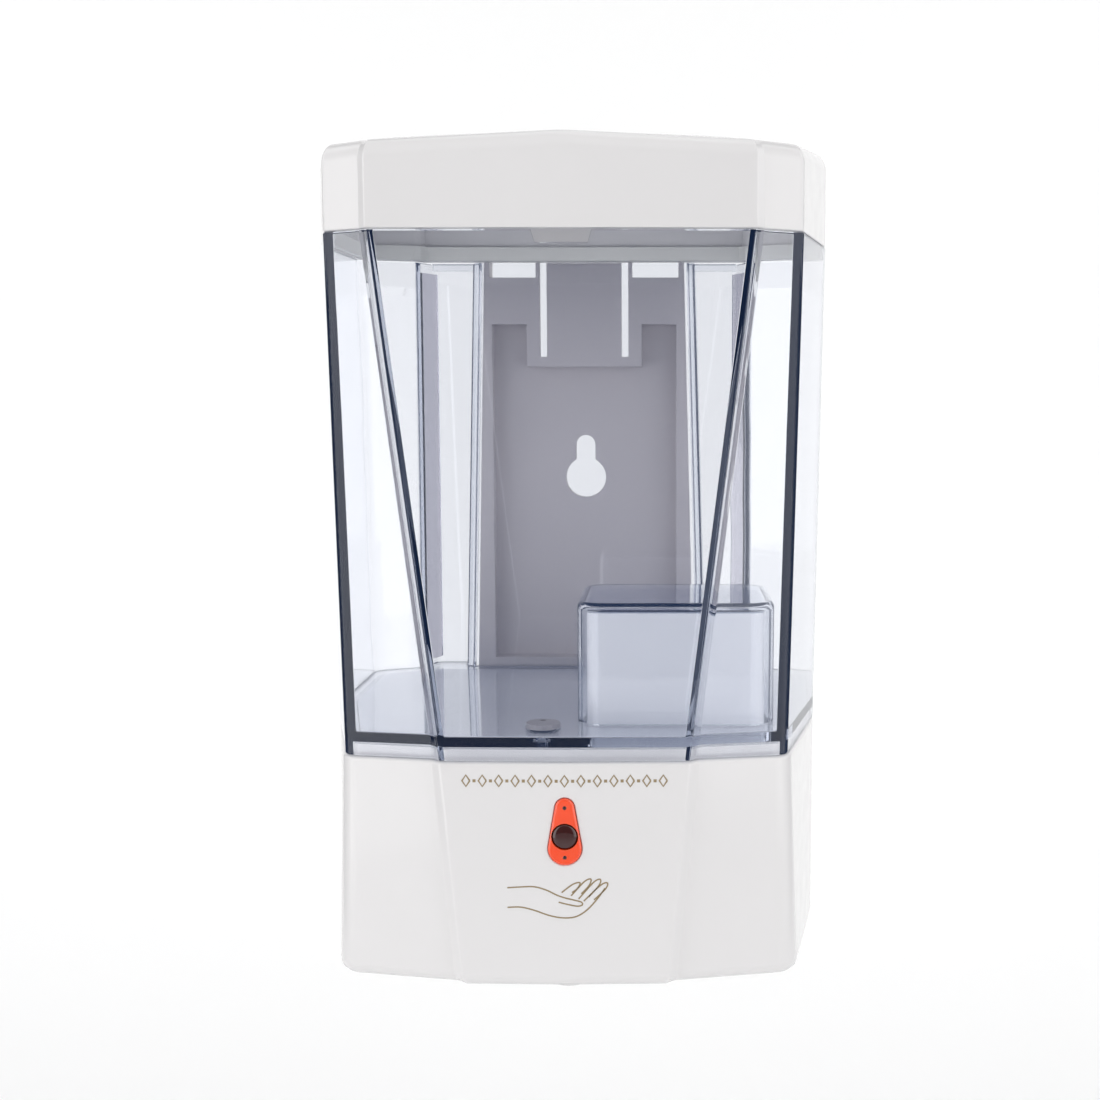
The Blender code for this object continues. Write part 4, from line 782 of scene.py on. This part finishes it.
def build_tank():
    """The clear tank: rounded rim, walls, coved floor, skirt, hump, spigot and finger notch."""
    outer = quarter((SEAM_ROUND, SEAM), (0.0, SEAM + SEAM_ROUND), 3, "a")
    outer += [(0.0, SEAM + (TANK_RIM - SEAM) * step / 6) for step in range(1, 6)]
    outer += quarter((0.0, TANK_RIM - RIM_ROUND), (RIM_ROUND, TANK_RIM), 3, "b")
    made = solid("tank_body", *loft(tank_rings(outer)))
    inner = quarter((WALL + COVE, TANK_FLOOR), (WALL, TANK_FLOOR + COVE), 3, "a")
    inner += [(WALL, TANK_FLOOR + (TANK_RIM - TANK_FLOOR) * step / 5) for step in range(1, 5)]
    mouth = WALL - INNER_RIM_ROUND
    inner += [(WALL, TANK_RIM - INNER_RIM_ROUND), (mouth, TANK_RIM + 0.02), (mouth, TANK_RIM + 2 * PAST)]
    hollow = solid("hollow", *loft(hollow_rings(inner)))
    skirt = solid("skirt", *loft(tank_rings([(WALL, SEAM - PAST), (WALL, TANK_FLOOR_UNDER)])))
    cut(made, hollow, skirt)
    dome = quarter((0.0, HUMP_TOP - HUMP_DOME), (HUMP_DOME, HUMP_TOP), 5, "b")
    block = solid("block", *loft(hump_rings([(0.0, TANK_FLOOR_UNDER + 0.5)] + dome)))
    spigot = rod("spigot", OUTLET, SPIGOT_RADIUS, SPIGOT_FOOT, TANK_FLOOR_UNDER + 0.8)
    fuse(made, block, spigot, *post_caps())
    ceiling = HUMP_TOP - HUMP_WALL
    under = quarter((HUMP_WALL, ceiling - HUMP_UNDER), (HUMP_WALL + HUMP_UNDER, ceiling), 4, "b")
    under = solid("under", *loft(hump_rings([(HUMP_WALL, SEAM)] + under)))
    hole = rod("outlet", OUTLET, OUTLET_RADIUS, SPIGOT_FOOT - 2.5 * PAST, TANK_FLOOR + PAST)
    notch = ((-NOTCH_FOOT_HALF, TANK_RIM - NOTCH_DEPTH), (NOTCH_FOOT_HALF, TANK_RIM - NOTCH_DEPTH),
             (NOTCH_TOP_HALF, TANK_RIM + PAST), (-NOTCH_TOP_HALF, TANK_RIM + PAST))
    cut(made, under, hole, prism("notch", notch, "Y", FRONT - 2 * PAST, FRONT + WALL + 2 * PAST))
    clean(made)
    return coat(stand_for(made, "housing", "tank"), "clear_plastic")


# ---------------------------------------------------------------- housing

def housing_outline(height):
    """The housing's half outline at a height."""
    return blended(HOUSING_FOOT, HOUSING_TOP, min(max(height / SEAM, 0.0), 1.0))


def lens_outline(grow):
    """Outline (x, height) of the drop-shaped sensor window."""
    steps = 24
    low_height, low_radius = LENS_LOW
    high_height, high_radius = LENS_HIGH
    low_radius += grow
    high_radius += grow
    lean = math.asin((low_radius - high_radius) / (high_height - low_height))
    points = []
    for step in range(steps + 1):
        angle = lean + (math.pi - 2 * lean) * step / steps
        points.append((high_radius * math.cos(angle), high_height + high_radius * math.sin(angle)))
    for step in range(steps + 1):
        angle = math.pi - lean + (math.pi + 2 * lean) * step / steps
        points.append((low_radius * math.cos(angle), low_height + low_radius * math.sin(angle)))
    return points


def lens_skin(name, levels):
    """A drop-shaped solid over (y, growth) levels."""
    return solid(name, *loft([[(x, y, height) for x, height in lens_outline(grow)] for y, grow in levels]))


def build_housing():
    """The white housing with its bosses, openings and the bevelled seat of the sensor window."""
    top = SEAM - GAP
    foot = FOOT_EDGE[-1][1]
    levels = list(FOOT_EDGE)
    levels += [(0.0, foot + (top - foot - 5.0) * step / 3) for step in range(1, 4)]
    levels += quarter((0.0, top - TOP_EDGE), (TOP_EDGE, top), 5, "b")
    levels += [(LIP_OUTER, top), (LIP_OUTER, LIP_TOP), (LIP_INNER, LIP_TOP), (LIP_INNER, top - 1.0),
               (HOUSING_WALL, top - 4.0), (HOUSING_WALL, FLOOR + 2.0), (HOUSING_WALL + 2.0, FLOOR)]
    rings = [ring(housing_outline(height), inset, height) for inset, height in levels]
    made = solid("housing_body", *loft(rings))
    over = SEAM + 5.0
    rear = box("rear", (-FLANGE_HALF - GAP, FLANGE_FRONT - GAP, FLOOR + 0.4), (FLANGE_HALF + GAP, PAST, over))
    way = box("way", (-PLATE_HALF - 2 * GAP, PLATE_FRONT - 2 * GAP, PLATE_FOOT - PAST),
              (PLATE_HALF + 2 * GAP, PAST, over))
    lip_way = box("lip_way", (-FLANGE_HALF - 1.0, LIP_REAR, SEAM - 0.1), (FLANGE_HALF + 1.0, PAST, over))
    seat = lens_skin("seat", [(FRONT - PAST, LENS_SEAT), (FRONT + 0.25, LENS_GAP), (FRONT + 6.0, LENS_GAP)])
    nozzle_hole = rod("nozzle_hole", NOZZLE, NOZZLE_HOLE, -PAST, FLOOR + PAST)
    x, y = SWITCH
    half_x, half_y = SWITCH_SLOT
    slot = box("slot", (x - half_x, y - half_y, -PAST), (x + half_x, y + half_y, FLOOR + PAST))
    cut(made, rear, way, lip_way, seat, nozzle_hole, slot)
    housing_bosses(made)
    door_frame(made)
    clean(made)
    return coat(stand_for(made, "housing", "housing_shell"), "white_plastic")


def housing_bosses(made):
    """Screw bosses for the back plate and pump, and pads for the main board."""
    adds = []
    cuts = []
    for x, height in CASE_SCREWS:
        side = 1 if x > 0 else -1
        adds.append(prism("boss", circle(CASE_BOSS, ROUND, (x, height)), "Y",
                          CASE_BOSS_FRONT, FLANGE_FRONT - GAP))
        web_left, web_right = sorted((x, x + side * WEB_REACH))
        adds.append(box("web", (web_left, WEB_FRONT, height - WEB_HALF),
                        (web_right, WEB_REAR, height + WEB_HALF)))
        section = circle(SCREW_HOLE, SMALL_ROUND, (x, height))
        cuts.append(prism("hole", section, "Y", CASE_HOLE_FRONT, FLANGE_FRONT + PAST))
    for spot in PUMP_EARS:
        adds.append(rod("pump_boss", spot, PUMP_BOSS, BOSS_FOOT, PUMP_BOSS_TOP))
        cuts.append(rod("pump_hole", spot, SCREW_HOLE, PUMP_HOLE_FOOT, PUMP_BOSS_TOP + 1.3 * PAST))
    for spot in BOARD_PADS:
        adds.append(rod("pad", spot, PAD_RADIUS, BOSS_FOOT, PAD_TOP))
    fuse(made, *adds)
    cut(made, *cuts)


def door_frame(made):
    """The battery opening, with a pin lug at each end of the door's hinge."""
    left, right, front, axis_y = DOOR
    cut(made, box("opening", (left - DOOR_GAP, front - DOOR_GAP, -PAST),
                  (right + DOOR_GAP, axis_y + DOOR_BARREL + DOOR_GAP, FLOOR + PAST)))
    steps = 16
    nose = []
    for step in range(steps + 1):
        angle = math.pi / 2 + math.pi * step / steps
        nose.append((axis_y + DOOR_BARREL * math.cos(angle), DOOR_BARREL + DOOR_BARREL * math.sin(angle)))
    rear = axis_y + DOOR_BARREL + DOOR_LUG_ROOT
    root = [(rear, 0.0), (rear, 2 * DOOR_BARREL)]
    spans = ((left - DOOR_LUG_ROOT, left + DOOR_LUG - GAP), (right - DOOR_LUG + GAP, right + DOOR_LUG_ROOT))
    lugs = [prism("lug", nose + root, "X", low, high) for low, high in spans]
    fuse(made, *lugs)
    section = circle(DOOR_PIN_HOLE, SMALL_ROUND, (axis_y, DOOR_BARREL))
    cut(made, prism("pin_hole", section, "X", left - 0.8, right + 0.8))


def round_rings(height, levels, sides):
    """Upright rings round a point on the centre line at (y, radius) levels."""
    return [[(x, y, z) for x, z in circle(radius, sides, (0.0, height))] for y, radius in levels]


def build_sensor():
    """Red window with a rounded edge, dark filter with a crowned face, and two small dots."""
    edge = quarter((0.0, LENS_FACE + 0.5), (0.7, LENS_FACE), 6, "b")
    window = lens_skin("sensor_window", [(LENS_REAR, 0.0)] + [(y, -inset) for inset, y in edge])
    section = circle(FILTER_RADIUS + GAP, ROUND, (0.0, FILTER_HEIGHT))
    cut(window, prism("hole", section, "Y", FRONT - 2 * PAST, FRONT + 5 * PAST))
    clean(window)
    coat(stand_for(window, "housing", "sensor_lens"), "red_lens")
    crown = quarter((FILTER_RADIUS, FILTER_EDGE), (0.3, FILTER_PEAK), 8, "b")
    face = [(FILTER_REAR, FILTER_RADIUS)] + [(y, radius) for radius, y in crown]
    made = solid("sensor_filter", *loft(round_rings(FILTER_HEIGHT, face, ROUND)))
    coat(stand_for(made, "housing", "ir_filter"), "dark_filter")
    dome = [(LENS_FACE + 0.25, 0.5), (LENS_FACE, 0.48), (LENS_FACE - 0.08, 0.34), (LENS_FACE - 0.1, 0.12)]
    for name, height in WINDOW_DOTS:
        made = solid(name, *loft(round_rings(height, dome, SMALL_ROUND)))
        coat(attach(made, "housing"), "dark_filter")


# ---------------------------------------------------------------- print on the front

def front_surface(x, height):
    """Depth y of the housing's front at a point of the panel."""
    half = housing_outline(height)
    points = sorted(spot for spot in rounded(half, 0.0) if spot[1] < PANEL_REAR)
    for (x0, y0), (x1, y1) in zip(points, points[1:]):
        if x0 <= x <= x1:
            share = (x - x0) / (x1 - x0) if x1 > x0 else 0.0
            return y0 + (y1 - y0) * share
    return FRONT


def smooth_line(spots, samples):
    """Points on a smooth curve through the spots."""
    ends = [spots[0]] + list(spots) + [spots[-1]]
    spans = len(spots) - 1
    line = []
    for index in range(samples):
        position = spans * index / (samples - 1)
        span = min(int(position), spans - 1)
        share = position - span
        a, b, c, d = (Vector(ends[span + offset]) for offset in range(4))
        line.append(0.5 * (2 * b + (c - a) * share + (2 * a - 5 * b + 4 * c - d) * share ** 2
                           + (3 * b - a - 3 * c + d) * share ** 3))
    return line


def ribbon(line, width):
    """Points and faces of one printed stroke that lies on the panel."""
    proud = 0.05
    sunk = 0.06
    points = []
    for index, spot in enumerate(line):
        before = line[max(index - 1, 0)]
        after = line[min(index + 1, len(line) - 1)]
        along = (after - before).normalized()
        across = Vector((-along.y, along.x)) * width / 2
        for side, depth in ((1, -proud), (-1, -proud), (-1, sunk), (1, sunk)):
            x, height = spot + across * side
            points.append((x, front_surface(x, height) + depth, height))
    faces = [(0, 1, 2, 3)]
    for index in range(len(line) - 1):
        low = 4 * index
        high = low + 4
        for step in range(4):
            following = (step + 1) % 4
            faces.append((low + step, high + step, high + following, low + following))
    last = 4 * (len(line) - 1)
    faces.append((last + 3, last + 2, last + 1, last))
    return points, faces


def printed(name, strokes):
    """One printed piece from several strokes, each a (line, width) pair."""
    points = []
    faces = []
    for line, width in strokes:
        more, sides = ribbon(line, width)
        start = len(points)
        points += more
        faces += [tuple(start + index for index in side) for side in sides]
    return coat(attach(solid(name, points, faces), "housing"), "brass", PRINT)


def build_print():
    """An open hand under the sensor window, and an ornament line above it."""
    stroke = 0.34
    finger_half = 0.75
    wrist_top = ((-14.0, 25.1), (-11.0, 25.3), (-7.6, 25.4), (-4.6, 24.6), (-1.9, 23.3), (0.2, 22.6))
    thumb = ((0.2, 22.6), (2.2, 22.1), (3.9, 21.6), (4.1, 20.9), (3.0, 20.6), (0.8, 21.0), (-1.6, 21.6))
    palm = ((-14.0, 20.2), (-10.8, 20.3), (-7.4, 19.5), (-4.0, 18.3), (-0.6, 17.7), (2.6, 18.0), (5.2, 19.6),
            (7.6, 22.2), (9.6, 25.0))
    lines = [smooth_line(spots, 30) for spots in (wrist_top, thumb, palm)]
    tips = ((3.6, 26.4), (6.2, 27.3), (8.5, 27.2), (10.2, 26.3))
    roots = ((-0.4, 23.4), (2.0, 22.7), (3.8, 21.9), (5.0, 21.3))
    for (tip_x, tip_height), (root_x, root_height) in zip(tips, roots):
        lean = Vector((tip_x - root_x, tip_height - root_height)).normalized()
        side = Vector((-lean.y, lean.x)) * finger_half
        tip = Vector((tip_x, tip_height))
        root = Vector((root_x, root_height))
        finger = (root + side, tip - lean * 1.6 + side, tip,
                  tip - lean * 1.4 - side, root + lean * 2.0 - side)
        lines.append(smooth_line(finger, 24))
    printed("print_hand", [(line, stroke) for line in lines])
    build_ornament()


def build_ornament():
    """A line of open lozenges with a small square between each two."""
    count = 6
    pitch = 3.95
    middle = 51.45
    half_wide = 0.95
    half_high = 1.4
    line_width = 0.4
    dot_half = 0.36
    strokes = []
    for index in range(-count, count + 1):
        x = index * pitch
        turns = [math.pi / 2 * turn for turn in range(5)]
        lozenge = [Vector((x + half_wide * math.cos(turn), middle + half_high * math.sin(turn)))
                   for turn in turns]
        strokes.append((lozenge, line_width))
        if index < count:
            centre = x + pitch / 2
            dot = [Vector((centre - dot_half, middle)), Vector((centre + dot_half, middle))]
            strokes.append((dot, 2 * dot_half))
    printed("print_ornament", strokes)


# ---------------------------------------------------------------- stage and light

def build_stage():
    """A pale swept sheet: floor, curve and backdrop."""
    profile = [(SHEET_FRONT, SHEET_FLOOR), (SHEET_REAR - SHEET_BEND, SHEET_FLOOR)]
    steps = 12
    for step in range(1, steps + 1):
        angle = math.pi / 2 * step / steps
        profile.append((SHEET_REAR - SHEET_BEND + SHEET_BEND * math.sin(angle),
                        SHEET_FLOOR + SHEET_BEND * (1.0 - math.cos(angle))))
    profile.append((SHEET_REAR, SHEET_TOP))
    points = [(x, y, z) for y, z in profile for x in (-SHEET_HALF, SHEET_HALF)]
    faces = [(2 * i, 2 * i + 1, 2 * i + 3, 2 * i + 2) for i in range(len(profile) - 1)]
    mesh = bpy.data.meshes.new("studio_sheet")
    mesh.from_pydata(points, [], faces)
    sheet = bpy.data.objects.new("studio_sheet", mesh)
    bpy.context.scene.collection.objects.link(sheet)
    mesh.shade_smooth()
    made, tree, shader = shader_of("studio_paper", (0.90, 0.90, 0.90), 0.9)
    tree.links.new(ranged(tree, noise_of(tree, 3.0), 0.85, 0.95), shader.inputs["Roughness"])
    mesh.materials.append(made)


def add_lamp(name, spot, target, size, watts):
    """A square area lamp that looks at a target."""
    data = bpy.data.lights.new(name, "AREA")
    data.size = size
    data.energy = watts
    lamp = bpy.data.objects.new(name, data)
    lamp.location = spot
    lamp.rotation_euler = (Vector(target) - Vector(spot)).to_track_quat("-Z", "Y").to_euler()
    bpy.context.scene.collection.objects.link(lamp)


def add_world():
    """A room that is dim right behind the camera and behind the dispenser, and bright all round between."""
    world = bpy.data.worlds.new("studio")
    world.use_nodes = True
    tree = world.node_tree
    background = tree.nodes["Background"]
    spot = tree.nodes.new("ShaderNodeTexCoord")
    split = tree.nodes.new("ShaderNodeSeparateXYZ")
    along = tree.nodes.new("ShaderNodeMapRange")
    along.inputs["From Min"].default_value = -1.0
    bands = tree.nodes.new("ShaderNodeValToRGB")
    ramp = bands.color_ramp
    ramp.interpolation = "EASE"
    while len(ramp.elements) < len(ROOM_BANDS):
        ramp.elements.new(0.5)
    for element, (y, colour) in zip(ramp.elements, ROOM_BANDS):
        element.position = (y + 1.0) / 2
        element.color = colour
    sides = tree.nodes.new("ShaderNodeMapRange")
    for name, value in (("From Min", -1.0), ("From Max", 1.0),
                        ("To Min", ROOM_LEFT * ROOM_STRENGTH), ("To Max", ROOM_RIGHT * ROOM_STRENGTH)):
        sides.inputs[name].default_value = value
    tree.links.new(spot.outputs["Generated"], split.inputs[0])
    tree.links.new(split.outputs["Y"], along.inputs["Value"])
    tree.links.new(along.outputs["Result"], bands.inputs[0])
    tree.links.new(split.outputs["X"], sides.inputs["Value"])
    tree.links.new(bands.outputs["Color"], background.inputs["Color"])
    tree.links.new(sides.outputs["Result"], background.inputs["Strength"])
    bpy.context.scene.world = world


def add_light():
    """The room, a soft lamp on each side in front, one from above, and two for the sheet."""
    add_world()
    for lamp in LAMPS:
        add_lamp(*lamp)


def build():
    """Every piece, its finish and the studio."""
    coat_nodes()
    build_lid()
    build_tank()
    build_painted_shade_strips()
    build_hump_shade_sheet()
    build_housing()
    build_sensor()
    build_print()
    for node, body, width, slot in SKINS:
        # painted light: the back plate gets the brightened grey
        coat(soften(node, body, width), slot, PLATE_GREY_LIT if node == "back_plate" else None)
    build_stage()
    add_light()
    scene = bpy.context.scene
    scene.view_settings.view_transform = "Standard"
    scene.cycles.transparent_max_bounces = 24     # the tank and its sheets are many faces deep
    scene.cycles.transmission_bounces = 20
    scene.cycles.max_bounces = 24


build()
